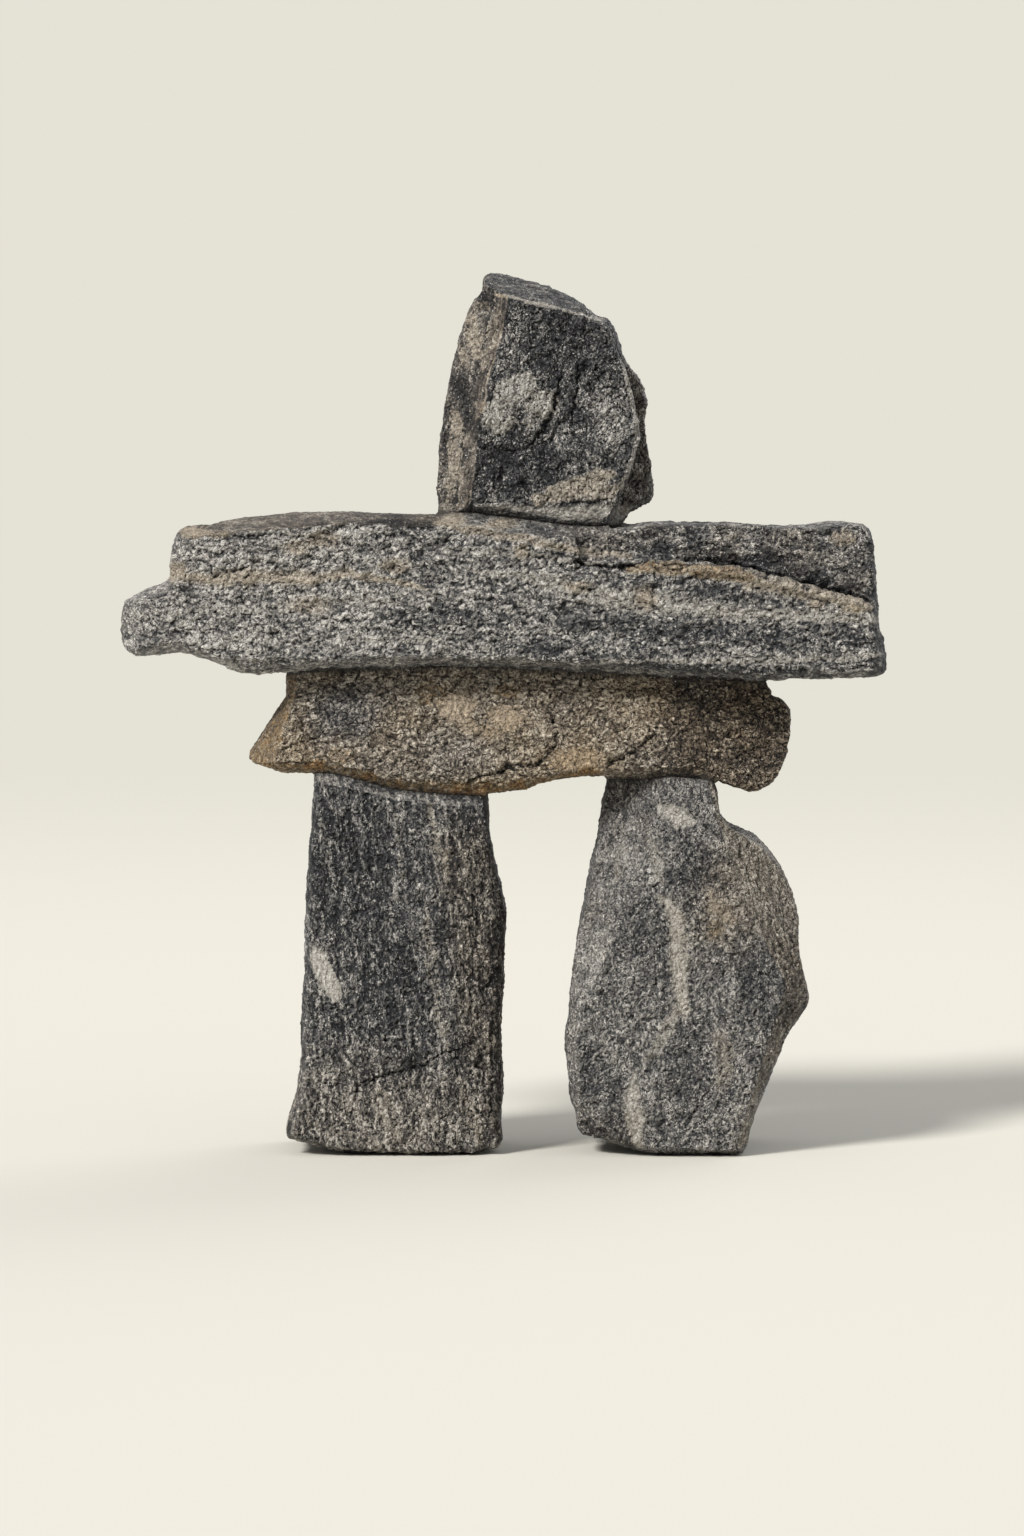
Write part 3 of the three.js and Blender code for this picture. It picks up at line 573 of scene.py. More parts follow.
def left_leg_marks(P, N):
    m = blank(P)
    f = fade(P, 2, 10)
    face = facing(N, (0, -1, 0), 0.3, 0.7)
    m["face"] = face
    lens = blob(P, *px((327, 969))[0], 6.4, 1.9, -63.4, 0.22, 0.22, 401, 1.6) * f
    m["light"] = np.maximum(m["light"], 0.95 * lens)
    m["smooth"] = np.maximum(m["smooth"], 0.9 * lens)
    m["lift"] += 0.35 * lens * face
    for pts, w, k, br, s in (
        (px((430, 800), (434, 826), (440, 850), (446, 876)), (0.8, 1.0, 1.5, 0.8), 0.50, 0.6, 411),
        (px((395, 806), (401, 850), (408, 900), (413, 940)), (0.7, 0.7, 0.8, 0.4), 0.30, 0.0, 412),
        (px((425, 900), (432, 950), (438, 1000), (448, 1042)), (0.4, 1.2, 1.3, 1.3), 0.42, 0.5, 413),
        (px((380, 1078), (386, 1104), (397, 1134)), (0.8, 1.8, 1.8), 0.42, 0.1, 414),
        (px((323, 815), (329, 850), (335, 880)), (0.4, 0.9, 0.4), 0.30, 0.0, 415),
        (px((352, 965), (362, 1010), (366, 1060)), (0.4, 0.8, 0.4), 0.2, 0.2, 416),
        (px((457, 1070), (470, 1110), (478, 1136)), (0.6, 1.6, 1.6), 0.38, 0.4, 417),
        (px((300, 1110), (340, 1128), (380, 1138)), (1.5, 1.4, 1.0), 0.28, 0.4, 418),
    ):
        b = k * band(P, pts, w, 0.8, 0.9, s, 3.5) * f
        m["light"] = np.maximum(m["light"], b)
        m["brown"] = np.maximum(m["brown"], br * b)
    bevel = facing(N, (0, -0.7, 0.7), 0.75, 0.95)
    m["light"] = np.maximum(m["light"], 0.25 * bevel)
    m["tone"] += 0.38 * bevel * f
    m["smooth"] = np.maximum(m["smooth"], 0.7 * bevel)
    third = ramp(P[:, 0] + 2.5 * perlin(P, 9, 421) + 0.12 * (P[:, 2] - 40), -14, -7) * (1 - ramp(P[:, 2], 60, 72)) * f
    m["brown"] = np.maximum(m["brown"], 0.75 * third)
    low = 1 - ramp(P[:, 2] + 3 * perlin(P, 9, 422), 12, 26)
    m["brown"] = np.maximum(m["brown"], 0.5 * low)
    m["tone"] += 0.22 * low
    m["dark"] = np.maximum(m["dark"], 0.35 * blob(P, *px((352, 862))[0], 8, 16, 4, 0.7, 0.3, 423, 6) * f)
    m["dark"] = np.maximum(m["dark"], 0.30 * blob(P, *px((392, 1000))[0], 6, 14, 4, 0.7, 0.3, 424, 6) * f)
    m["dark"] = np.maximum(m["dark"], 0.30 * blob(P, *px((470, 800))[0], 4.5, 7, 4, 0.7, 0.3, 425, 6) * f)
    # painted shade: the facet turned to the right, away from the key light, is darker; it is browner as well
    edge = facing(N, (1, -0.5, 0), 0.7, 0.9)
    m["dark"] = np.maximum(m["dark"], 0.35 * edge)
    m["brown"] = np.maximum(m["brown"], 0.4 * edge)
    for pts, w, k, s in (
        (px((351, 1088), (365, 1078), (378, 1071), (402, 1065), (423, 1059), (445, 1047), (466, 1042)), (0.10, 0.20, 0.28, 0.30, 0.24, 0.18, 0.08), 0.78, 431),
        (px((412, 1066), (408, 1078), (398, 1086)), (0.2, 0.3, 0.2), 0.5, 432),
        (px((500, 962), (490, 978), (484, 986)), (0.35, 0.4, 0.2), 0.9, 433),
        (px((486, 1040), (478, 1060), (492, 1074)), (0.25, 0.4, 0.25), 0.7, 434),
        (px((494, 1010), (493, 1040), (494, 1073), (492, 1110)), (0.25, 0.35, 0.35, 0.25), 0.6, 435),
    ):
        m["groove"] = np.maximum(m["groove"], k * band(P, pts, w, 0.8, 0.6, s, 1.7) * f * facing(N, (0, -1, 0), 0.1, 0.4))
    m["lift"] += f * face * (
        0.4 * blob(P, *px((440, 1100))[0], 10, 6, 8, 0.7, 0.2, 441, 5)
        + 0.4 * blob(P, *px((372, 1050))[0], 8, 4, -15, 0.6, 0.2, 442, 5)
        - 0.4 * blob(P, *px((470, 1010))[0], 4, 9, 5, 0.7, 0.2, 443, 5)
    )
    return stains(P, m, 491)


def right_leg_marks(P, N):
    m = blank(P)
    f = fade(P, 2, 10)
    face = facing(N, (0, -1, 0), 0.55, 0.85)
    m["face"] = face
    left = facing(N, (-1, -0.75, 0), 0.80, 0.93)
    shoulder = facing(N, (1, -0.55, 0.35), 0.72, 0.9)
    for pts, w, k, br, s in (
        (px((659, 803), (668, 808), (680, 812), (692, 820)), (0.8, 1.7, 1.7, 0.7), 1.0, 0.0, 501),
        (px((652, 838), (657, 856), (661, 876)), (0.9, 1.5, 0.8), 0.62, 0.0, 502),
        (px((660, 892), (670, 900), (677, 925), (676, 950), (678, 975), (683, 1003)), (0.9, 1.5, 1.8, 1.7, 1.8, 1.2), 1.0, 0.22, 503),
        (px((676, 1003), (667, 1020), (657, 1038), (646, 1052)), (1.1, 1.4, 1.4, 0.7), 0.66, 0.1, 504),
        (px((633, 1066), (630, 1082), (634, 1104), (634, 1122), (637, 1138)), (0.6, 1.3, 1.6, 1.6, 1.0), 1.0, 0.05, 505),
        (px((706, 888), (716, 904), (730, 912)), (1.4, 2.4, 1.6), 0.58, 0.5, 506),
        (px((718, 1030), (724, 1050), (720, 1078)), (1.6, 2.2, 1.4), 0.42, 0.7, 507),
        (px((600, 1030), (612, 1052)), (1.4, 1.0), 0.30, 0.0, 508),
        (px((628, 818), (618, 850), (612, 880)), (0.6, 0.9, 0.5), 0.35, 0.1, 509),
        (px((740, 1100), (736, 1130), (732, 1150)), (1.5, 2.0, 1.0), 0.30, 0.3, 510),
    ):
        b = k * band(P, pts, w, 0.75, 0.8, s, 2.6) * f
        m["light"] = np.maximum(m["light"], b)
        m["smooth"] = np.maximum(m["smooth"], 0.55 * ramp(b, 0.6, 0.95))
        m["brown"] = np.maximum(m["brown"], br * b)
    m["ochre"] = np.maximum(m["ochre"], 0.55 * blob(P, *px((714, 922))[0], 1.8, 2.6, -20, 0.6, 0.5, 521, 2) * f)
    m["brown"] = np.maximum(m["brown"], 0.85 * blob(P, *px((733, 890))[0], 8, 11, -25, 0.7, 0.4, 522, 4) * f)
    m["dark"] = np.maximum(m["dark"], 0.42 * blob(P, *px((690, 872))[0], 5.5, 4.5, 30, 0.7, 0.35, 523, 4) * f)
    m["dark"] = np.maximum(m["dark"], 0.34 * blob(P, *px((640, 915))[0], 6.5, 7.5, 0, 0.7, 0.35, 524, 4) * f)
    m["dark"] = np.maximum(m["dark"], 0.34 * blob(P, *px((775, 985))[0], 7.5, 8.5, 0, 0.7, 0.35, 525, 4) * f)
    m["dark"] = np.maximum(m["dark"], 0.30 * blob(P, *px((600, 1062))[0], 6, 6, 0, 0.7, 0.35, 526, 4) * f)
    m["dark"] = np.maximum(m["dark"], 0.25 * blob(P, *px((690, 1060))[0], 6, 8, 0, 0.7, 0.35, 527, 4) * f)
    m["tone"] += 0.34 * left * (1 - 0.85 * ramp(P[:, 2], 42, 56))
    m["brown"] = np.maximum(m["brown"], 0.30 * left * ramp(fbm(P, 7, 528, 2), -0.1, 0.3))
    # the shoulder facet turned to the right: its own brown streaks, and a paler tone that is painted light on a side
    # turned from the key light
    m["brown"] = np.maximum(m["brown"], 0.90 * shoulder)
    m["tone"] += 0.22 * shoulder * (1 + 1.3 * perlin(np.stack([P[:, 0] + 0.45 * P[:, 2], P[:, 1] * 0.5, (P[:, 2] - 0.45 * P[:, 0]) * 0.12], 1), 0.8, 529))
    m["smooth"] = np.maximum(m["smooth"], 0.35 * shoulder)
    corner = (1 - ramp(P[:, 2] - 0.15 * (P[:, 0] - 14), 6, 9)) * (1 - ramp(P[:, 0], 24, 30)) * f
    m["dark"] = np.maximum(m["dark"], 0.3 * corner)
    m["brown"] = np.maximum(m["brown"], 0.35 * corner)
    for pts, w, k, s in (
        (px((775, 930), (786, 948), (797, 962)), (0.2, 0.4, 0.3), 0.7, 531),
        (px((650, 776), (648, 800), (640, 830)), (0.3, 0.35, 0.2), 0.6, 532),
        (px((577, 1112), (600, 1126), (630, 1140)), (0.2, 0.3, 0.2), 0.5, 533),
        (px((736, 840), (750, 868), (768, 900)), (0.2, 0.3, 0.2), 0.5, 534),
    ):
        m["groove"] = np.maximum(m["groove"], k * band(P, pts, w, 0.8, 0.6, s, 1.7) * f * facing(N, (0, -1, 0), 0.1, 0.4))
    m["lift"] += f * face * (
        0.5 * blob(P, *px((668, 808))[0], 5, 3, 0, 0.8, 0.2, 541, 5)
        - 0.5 * blob(P, *px((690, 880))[0], 5, 4, 20, 0.8, 0.2, 542, 5)
        + 0.4 * blob(P, *px((735, 905))[0], 6, 5, -20, 0.8, 0.2, 543, 5)
    )
    return stains(P, m, 591)


# ------------------------------------------------------------------ relief

STONES = {
    # voxel and split set the net; flat is the foliation's normal and streak its lineation; the rest are relief heights
    # in mm: big and mid swells, foliation ribs, flakes and the gaps between them, curled lips, and fine grain
    "head_stone": dict(voxel=0.47, split=-0.4, flat=(0.10, 1.0, 0.08), streak=(0.25, 0.0, 1.0), size=1.45, out=-0.22,
                       big=0.30, mid=0.28, ribs=0.16, flake=0.44, gap=0.26, curl=0.50, fine=0.09, seed=1100, marks=head_marks),
    "arm_slab": dict(voxel=0.66, split=-0.45, flat=(0.03, 0.10, 1.0), streak=(1.0, 0.0, -0.03), size=1.70, out=-0.20,
                     big=0.30, mid=0.24, ribs=0.20, flake=0.44, gap=0.26, curl=0.52, fine=0.09, seed=1200, marks=arm_marks),
    "belt_stone": dict(voxel=0.54, split=-0.45, flat=(0.0, 0.5, 1.0), streak=(1.0, 0.0, 0.1), size=1.65, out=-0.15,
                       big=0.50, mid=0.45, ribs=0.06, flake=0.34, gap=0.34, curl=0.40, fine=0.08, seed=1300, marks=belt_marks),
    "left_leg_stone": dict(voxel=0.55, split=-0.45, flat=(1.0, 0.25, 0.14), streak=(-0.13, 0.0, 1.0), size=1.30, out=-0.12,
                           big=0.26, mid=0.24, ribs=0.32, flake=0.36, gap=0.24, curl=0.36, fine=0.09, seed=1400, marks=left_leg_marks),
    "right_leg_stone": dict(voxel=0.56, split=-0.45, flat=(0.15, 1.0, 0.05), streak=(0.05, 0.0, 1.0), size=1.20, out=-0.12,
                            big=0.35, mid=0.28, ribs=0.18, flake=0.32, gap=0.22, curl=0.34, fine=0.09, seed=1500, marks=right_leg_marks),
}


def frame_axes(flat, streak):
    n = np.array(flat, float)
    n /= np.linalg.norm(n)
    u = np.array(streak, float)
    u -= n * (u @ n)
    u /= np.linalg.norm(u)
    return np.stack([u, np.cross(n, u), n], 1)


def terraces(n, levels, rise=0.3):
    """Steps cut from a smooth field: the height, and how near each point is to the foot and to the lip of a step."""
    x = n * levels
    f = x - np.floor(x)
    up = ramp(f, 0.0, rise)
    return (np.floor(x) + up) / levels, 1 - ramp(np.minimum(f, 1 - f), 0.0, 0.14), ramp(f, 0.1, rise) * (1 - ramp(f, rise, rise + 0.3))


def carve(node, c):
    mesh = fine_mesh(node, c["voxel"] * (1.0), c["split"])
    P0, E = read_mesh(mesh), edges_of(mesh)
    raw = normals_of(mesh)
    N = smoothed(raw, E, 6)
    N /= np.linalg.norm(N, axis=1, keepdims=True) + 1e-9
    seed = c["seed"]

    # worn edges: how far each point stands out of its smoothed surroundings, and uneven rounding there
    soft = smoothed(P0, E, 12)
    out = np.einsum("ij,ij->i", P0 - soft, N)
    edge = ramp(out, 0.04, 0.40)
    keep = 0.10 + 0.75 * ramp(perlin(P0, 5.0, seed + 1), -0.3, 0.5)
    P = P0 + (soft - P0) * (keep * np.clip(edge * 1.2, 0, 1))[:, None]
    chips = edge * ramp(perlin(P0, 2.2, seed + 2) + 0.6 * perlin(P0, 6.0, seed + 3), 0.05, 0.5)

    m = c["marks"](P0, N)
    B = frame_axes(c["flat"], c["streak"])
    L = P @ B  # along the lineation, across it in the foliation, across the foliation
    warp = np.stack([perlin(P, 4.5, seed + 10 + k) for k in range(3)], 1)
    fine_warp = np.stack([perlin(P, 1.6, seed + 14 + k) for k in range(3)], 1)
    face = ramp(np.abs(N[:, 1]), 0.25, 0.7)  # the broad faces are flaky, the narrow sides cleaner
    calm = (0.42 + 0.58 * face) * (1 - 0.55 * edge)
    grain = (1 - 0.72 * m["smooth"]) * calm

    # foliation ribs: thin sheets that run along the lineation
    ribs = 0.65 * perlin((L + 1.2 * warp) / (9.0, 5.0, 1.0), 1.15, seed + 20) + 0.45 * perlin((L + 0.8 * warp) / (7.0, 3.5, 1.0), 0.55, seed + 21)
    # flakes: tilted plates with steps between them
    Q = (L + 0.55 * warp + 0.45 * fine_warp) / (1.35, 1.1, 0.8)
    f1, f2, own, way = cells(Q, c["size"], seed + 30)
    lean = rand3(own) - 0.5
    height = unit(mix_bits(own + np.uint32(77))) - 0.5
    flake = 0.55 * height * 2 + 1.3 * np.einsum("ij,ij->i", lean, way)
    gap = 1 - ramp(f2 - f1, 0.02, 0.20)
    g1, g2, own2, way2 = cells((L + 0.35 * fine_warp) / (1.2, 1.0, 0.8), c["size"] * 0.52, seed + 31)
    lean2 = rand3(own2) - 0.5
    height2 = unit(mix_bits(own2 + np.uint32(78))) - 0.5
    small = 0.6 * height2 * 2 + 1.2 * np.einsum("ij,ij->i", lean2, way2)
    gap2 = 1 - ramp(g2 - g1, 0.02, 0.25)
    # curled lips of mica sheets
    curl = fbm((L + 0.7 * warp) / (1.15, 1.0, 0.9), c["size"] * 1.7, seed + 35, 2, 0.45)
    sheet, foot_of, lip = terraces(curl, 4.5)

    relief = (
        c["ribs"] * ribs * (1 + 0.8 * m["smooth"])
        + grain * (c["flake"] * flake - c["gap"] * gap)
        + 0.45 * grain * (c["flake"] * small - c["gap"] * gap2)
        + grain * c["curl"] * (sheet * 2.0 + 0.30 * lip - 0.30 * foot_of)
        + c["fine"] * perlin(P, 0.75, seed + 40)
    )
    swell = c["big"] * fbm(P, 13, seed + 50, 2) + c["mid"] * fbm(P, 4.2, seed + 51, 3) * (0.5 + 0.5 * calm)
    m["groove"] *= 0.55 + 0.45 * ramp(perlin(P, 2.4, seed + 52), -0.4, 0.2)
    d = relief + swell + m["lift"] - 0.55 * chips - m["groove"] + c["out"]
    # stones meet where they bear on each other
    g, up = joint_gap(node, P0, N)
    shut = (1 - ramp(g, 1.1, 2.4)) * (g < 50)
    shut = np.maximum(shut, smoothed(shut, E, 3))
    P = P + N * (d * (1 - 0.85 * shut))[:, None]
    bear = (g < 50) & (g < 2.4)
    P[bear, 2] += (shut * (up * (g / 2 + 0.10) + (P0[:, 2] - P[:, 2]) * 0.8))[bear]
    P[:, 2] = np.maximum(P[:, 2], 0.0)

    mesh.vertices.foreach_set("co", (P / 1000.0).ravel())
    mesh.update()
    tone = 0.65 * (unit(mix_bits(own + np.uint32(5))) * 2 - 1) + 0.35 * (unit(mix_bits(own2 + np.uint32(5))) * 2 - 1)
    streak = 0.6 * perlin((L + 1.0 * warp) / (10.0, 6.0, 1.0), 1.3, seed + 60) + 0.5 * perlin((L + 0.5 * warp) / (6.0, 4.0, 1.0), 0.6, seed + 61)
    # cavity: how far each point stands out of its smoothed relief, less the grooves, plus the worn edges; the material
    # paints shade with it in hollows and grooves and light on raised grains and edges
    cavity = np.clip((relief - smoothed(relief, E, 6)) / 0.17, -1.6, 1.6) - np.clip(m["groove"] * 1.6, 0, 2.5) + 0.35 * edge
    put_attribute(mesh, "rock_a", (tone * grain, streak, cavity, m["tone"]))
    put_attribute(mesh, "rock_b", (m["light"], m["ochre"], m["dark"], m["smooth"]))
    # rock_c: brown, worn edge, where stones meet (painted shade there), and the broad or upward faces (the other sides
    # get painted shade)
    put_attribute(mesh, "rock_c", (m["brown"], edge, shut, np.maximum(face, ramp(N[:, 2], 0.45, 0.85))))
    for p in mesh.polygons:
        p.use_smooth = True
    ob = bpy.data.objects.new(node.replace("_stone", "") + "_rock", mesh)
    bpy.context.scene.collection.objects.link(ob)
    return ob


# ------------------------------------------------------------------ materials


def srgb(r, g, b):
    """A colour as measured on a display, 0 to 255, in linear light."""
    out = []
    for v in (r, g, b):
        v /= 255.0
        out.append(v / 12.92 if v <= 0.04045 else ((v + 0.055) / 1.055) ** 2.4)
    return (*out, 1.0)


class Nodes:
    """Short calls for a material's nodes."""

    def __init__(self, mat):
        self.t = mat.node_tree
        self.n = self.t.nodes
        self.l = self.t.links
        self.n.clear()

    def new(self, kind, **props):
        node = self.n.new(kind)
        for k, v in props.items():
            setattr(node, k, v)
        return node

    def put(self, socket, value):
        if isinstance(value, bpy.types.NodeSocket):
            self.l.new(value, socket)
        else:
            socket.default_value = value

    def math(self, op, a, b=0.0, c=None, clamp=False):
        node = self.new("ShaderNodeMath", operation=op, use_clamp=clamp)
        self.put(node.inputs[0], a)
        self.put(node.inputs[1], b)
        if c is not None:
            self.put(node.inputs[2], c)
        return node.outputs[0]

    def attr(self, name):
        a = self.new("ShaderNodeAttribute", attribute_name=name)
        s = self.new("ShaderNodeSeparateColor")
        self.l.new(a.outputs["Color"], s.inputs[0])
        return s.outputs[0], s.outputs[1], s.outputs[2], a.outputs["Alpha"]

    def noise(self, vec, scale, detail=3.0, rough=0.6, distort=0.0):
        node = self.new("ShaderNodeTexNoise")
        self.put(node.inputs["Vector"], vec)
        self.put(node.inputs["Scale"], scale)
        self.put(node.inputs["Detail"], detail)
        self.put(node.inputs["Roughness"], rough)
        self.put(node.inputs["Distortion"], distort)
        return node.outputs["Fac"], node.outputs["Color"]

    def voronoi(self, vec, scale, feature="F1", rand=1.0):
        node = self.new("ShaderNodeTexVoronoi", feature=feature)
        self.put(node.inputs["Vector"], vec)
        self.put(node.inputs["Scale"], scale)
        self.put(node.inputs["Randomness"], rand)
        return node

    def ramp(self, fac, stops, mode="LINEAR"):
        node = self.new("ShaderNodeValToRGB")
        node.color_ramp.interpolation = mode
        e = node.color_ramp.elements
        while len(e) < len(stops):
            e.new(0.5)
        for k, (pos, col) in enumerate(stops):
            e[k].position = pos
            e[k].color = col if isinstance(col, tuple) else (col, col, col, 1.0)
        self.put(node.inputs[0], fac)
        return node.outputs[0]

    def mix(self, fac, a, b, mode="MIX"):
        node = self.new("ShaderNodeMix", data_type="RGBA", blend_type=mode)
        self.put(node.inputs[0], fac)
        self.put(node.inputs[6], a)
        self.put(node.inputs[7], b)
        return node.outputs[2]

    def maprange(self, v, a, b, c=0.0, d=1.0, smooth=False):
        node = self.new("ShaderNodeMapRange", interpolation_type="SMOOTHSTEP" if smooth else "LINEAR")
        self.put(node.inputs[0], v)
        for k, x in enumerate((a, b, c, d)):
            self.put(node.inputs[k + 1], x)
        return node.outputs[0]


def rock(name, c, look):
    mat = bpy.data.materials.new(name)
    mat.use_nodes = True
    t = Nodes(mat)
    coord = t.new("ShaderNodeTexCoord").outputs["Object"]
    # mm, in the stone's own grain directions
    B = frame_axes(c["flat"], c["streak"])
    rows = []
    for k in range(3):
        dot = t.new("ShaderNodeVectorMath", operation="DOT_PRODUCT")
        t.put(dot.inputs[0], coord)
        dot.inputs[1].default_value = tuple(float(v) * 1000.0 for v in B[:, k])
        rows.append(dot.outputs["Value"])
    local = t.new("ShaderNodeCombineXYZ")
    for k in range(3):
        t.put(local.inputs[k], rows[k])
    mm = local.outputs[0]
    long = t.new("ShaderNodeVectorMath", operation="MULTIPLY")
    t.put(long.inputs[0], mm)
    long.inputs[1].default_value = (0.28, 0.5, 1.0)
    stretched = long.outputs[0]
    drawn = t.new("ShaderNodeVectorMath", operation="MULTIPLY")
    t.put(drawn.inputs[0], mm)
    drawn.inputs[1].default_value = (look["drawn"], 1.0, 1.0)

    tone, streak, cavity, lift = t.attr("rock_a")
    light, ochre, dark, smooth = t.attr("rock_b")
    brown, edge, shut, face = t.attr("rock_c")
    rough_part = t.math("MULTIPLY_ADD", smooth, -0.75, 1.0, clamp=True)

    speck, speck_col = t.noise(mm, look["speck"], 3.0, 0.7, 0.3)
    ssep = t.new("ShaderNodeSeparateColor")
    t.put(ssep.inputs[0], speck_col)
    speck2 = ssep.outputs[1]
    grains = t.voronoi(mm, look["grain"])
    gsep = t.new("ShaderNodeSeparateColor")
    t.put(gsep.inputs[0], grains.outputs["Color"])
    thread, _ = t.noise(stretched, look["thread"], 3.0, 0.6, 0.2)
    cloud, _ = t.noise(mm, 0.09, 3.0, 0.55, 0.0)
    patch, _ = t.noise(mm, 0.30, 2.0, 0.5, 0.0)

    # mica sheets: steps cut from a warped noise, each with painted shade at its foot and a painted highlight on its lip
    sheets, _ = t.noise(drawn.outputs[0], look["sheet"], 1.5, 0.5, look["swirl"])
    x = t.math("MULTIPLY", sheets, look["levels"])
    fr = t.math("FRACT", x)
    step_up = t.maprange(fr, 0.0, 0.35, 0.0, 1.0, True)
    stair = t.math("DIVIDE", t.math("ADD", t.math("SUBTRACT", x, fr), step_up), look["levels"])
    foot = t.math("MULTIPLY", t.maprange(fr, 0.16, 0.0, 0.0, 1.0, True), rough_part)
    lip = t.math("MULTIPLY", t.maprange(fr, 0.14, 0.32, 0.0, 1.0, True), t.maprange(fr, 0.62, 0.34, 0.0, 1.0, True))
    lip = t.math("MULTIPLY", lip, t.math("MULTIPLY", t.maprange(patch, 0.36, 0.60, 0.25, 1.0, True), rough_part))

    # small domed plates, with thin outlines painted dark as shade in the cracks between them
    bend = t.new("ShaderNodeVectorMath", operation="MULTIPLY_ADD")
    t.put(bend.inputs[0], t.noise(mm, 0.9, 2.0, 0.5, 0.0)[1])
    bend.inputs[1].default_value = (look["bend"],) * 3
    t.put(bend.inputs[2], drawn.outputs[0])
    scales = t.voronoi(bend.outputs[0], look["scale"], "DISTANCE_TO_EDGE").outputs["Distance"]
    outline = t.math("MULTIPLY", t.maprange(scales, look["line"], 0.01, 0.0, 1.0, True), rough_part)
    outline = t.math("MULTIPLY", outline, t.maprange(patch, 0.34, 0.56, 0.35, 1.0, True))
    dome = t.math("MULTIPLY", t.maprange(scales, 0.0, 0.22, 0.0, 1.0, True), rough_part)

    # how pale each grain is, 0 to 1, with painted shade and light from the relief and the sides added in
    v = t.math("MULTIPLY_ADD", tone, look["k_tone"], look["base"])
    v = t.math("MULTIPLY_ADD", t.math("SUBTRACT", gsep.outputs[0], 0.5), look["k_grain"], v)
    v = t.math("MULTIPLY_ADD", t.math("SUBTRACT", speck, 0.5), look["k_speck"], v)
    v = t.math("MULTIPLY_ADD", t.math("SUBTRACT", thread, 0.5), look["k_thread"], v)
    v = t.math("MULTIPLY_ADD", streak, look["k_streak"], v)
    v = t.math("MULTIPLY_ADD", t.math("SUBTRACT", cloud, 0.5), 0.35, v)
    v = t.math("MULTIPLY_ADD", t.math("SUBTRACT", patch, 0.5), look["k_patch"], v)
    v = t.math("MULTIPLY_ADD", light, 0.16, v)
    # painted shade: the sides that face neither front, back nor up are darker
    v = t.math("MULTIPLY_ADD", t.math("SUBTRACT", 1.0, face), -0.10, v)
    # painted shade in hollows and grooves, painted light on raised grains and worn edges
    v = t.math("MULTIPLY_ADD", cavity, look["k_cavity"], v)
    v = t.math("MULTIPLY_ADD", lip, look["lip_highlight"], v)
    v = t.math("MULTIPLY_ADD", foot, -look["foot_shade"], v)
    v = t.math("MULTIPLY_ADD", outline, -look["outline_shade"], v)
    v = t.math("MULTIPLY_ADD", lift, 0.5, v)
    v = t.math("MULTIPLY_ADD", dark, -0.46, v, clamp=True)

    col = t.ramp(v, look["stops"])
    # brown weathering
    tint = t.ramp(v, look["brown"])
    bfac = t.math("MULTIPLY", brown, t.maprange(cloud, 0.3, 0.65, 0.65, 1.0), clamp=True)
    col = t.mix(t.math("MULTIPLY", bfac, 0.85), col, tint)
    # feldspar and quartz: solid where the mark is strong, scattered pale grains where it is weak
    pv = t.math("MULTIPLY_ADD", light, 0.26, 0.43)
    pv = t.math("MULTIPLY_ADD", t.math("SUBTRACT", speck2, 0.5), 1.1, pv)
    # painted shade and light in the pale grains: darker in hollows and at the feet of mica sheets, paler on raised
    # grains and their lips
    pv = t.math("MULTIPLY_ADD", cavity, 0.13, pv)
    pv = t.math("MULTIPLY_ADD", t.math("SUBTRACT", gsep.outputs[1], 0.5), 0.22, pv)
    pv = t.math("MULTIPLY_ADD", lip, 0.20, pv)
    pv = t.math("MULTIPLY_ADD", foot, -0.30, pv, clamp=True)
    pale = t.ramp(pv, [(0.0, srgb(66, 62, 57)), (0.32, srgb(128, 123, 116)), (0.62, srgb(172, 167, 158)), (1.0, srgb(224, 221, 214))])
    warm = t.mix(1.0, pale, look["warm"], "MULTIPLY")
    pale = t.mix(t.math("MULTIPLY", brown, 0.9, clamp=True), pale, warm)
    lf = t.math("MULTIPLY_ADD", t.math("SUBTRACT", patch, 0.5), 0.4, light)
    lf = t.math("MULTIPLY_ADD", t.math("SUBTRACT", gsep.outputs[2], 0.5), 0.35, lf)
    lf = t.math("MULTIPLY_ADD", t.math("SUBTRACT", speck, 0.5), 1.0, lf)
    lfac = t.math("MULTIPLY", t.maprange(lf, 0.24, 0.52, 0.0, 1.0, True), t.maprange(light, 0.02, 0.30, 0.0, 0.94, True))
    # painted shade: pale grains fade out down in the hollows
    lfac = t.math("MULTIPLY", lfac, t.maprange(cavity, -1.6, -0.5, 0.2, 1.0), clamp=True)
    col = t.mix(lfac, col, pale)
    # rust
    rv = t.math("MULTIPLY_ADD", t.math("SUBTRACT", speck2, 0.5), 1.5, 0.5)
    # painted shade and light in the rust: the same from hollows, lips and feet
    rv = t.math("MULTIPLY_ADD", cavity, 0.14, rv)
    rv = t.math("MULTIPLY_ADD", lip, 0.2, rv)
    rv = t.math("MULTIPLY_ADD", foot, -0.35, rv, clamp=True)
    rust = t.ramp(rv, look["rust"])
    of = t.math("MULTIPLY_ADD", t.math("SUBTRACT", gsep.outputs[1], 0.5), 0.5, ochre)
    of = t.math("MULTIPLY_ADD", t.math("SUBTRACT", patch, 0.5), 0.6, of)
    ofac = t.math("MULTIPLY", t.maprange(of, 0.15, 0.6, 0.0, 1.0, True), t.maprange(ochre, 0.02, 0.35, 0.0, 0.88, True), clamp=True)
    rust = t.mix(t.maprange(of, 0.85, 1.25, 0.0, 0.8, True), rust, t.ramp(rv, [(0.0, srgb(40, 22, 10)), (0.4, srgb(124, 84, 44)), (0.7, srgb(184, 136, 76)), (1.0, srgb(222, 186, 130))]))
    col = t.mix(ofac, col, rust)
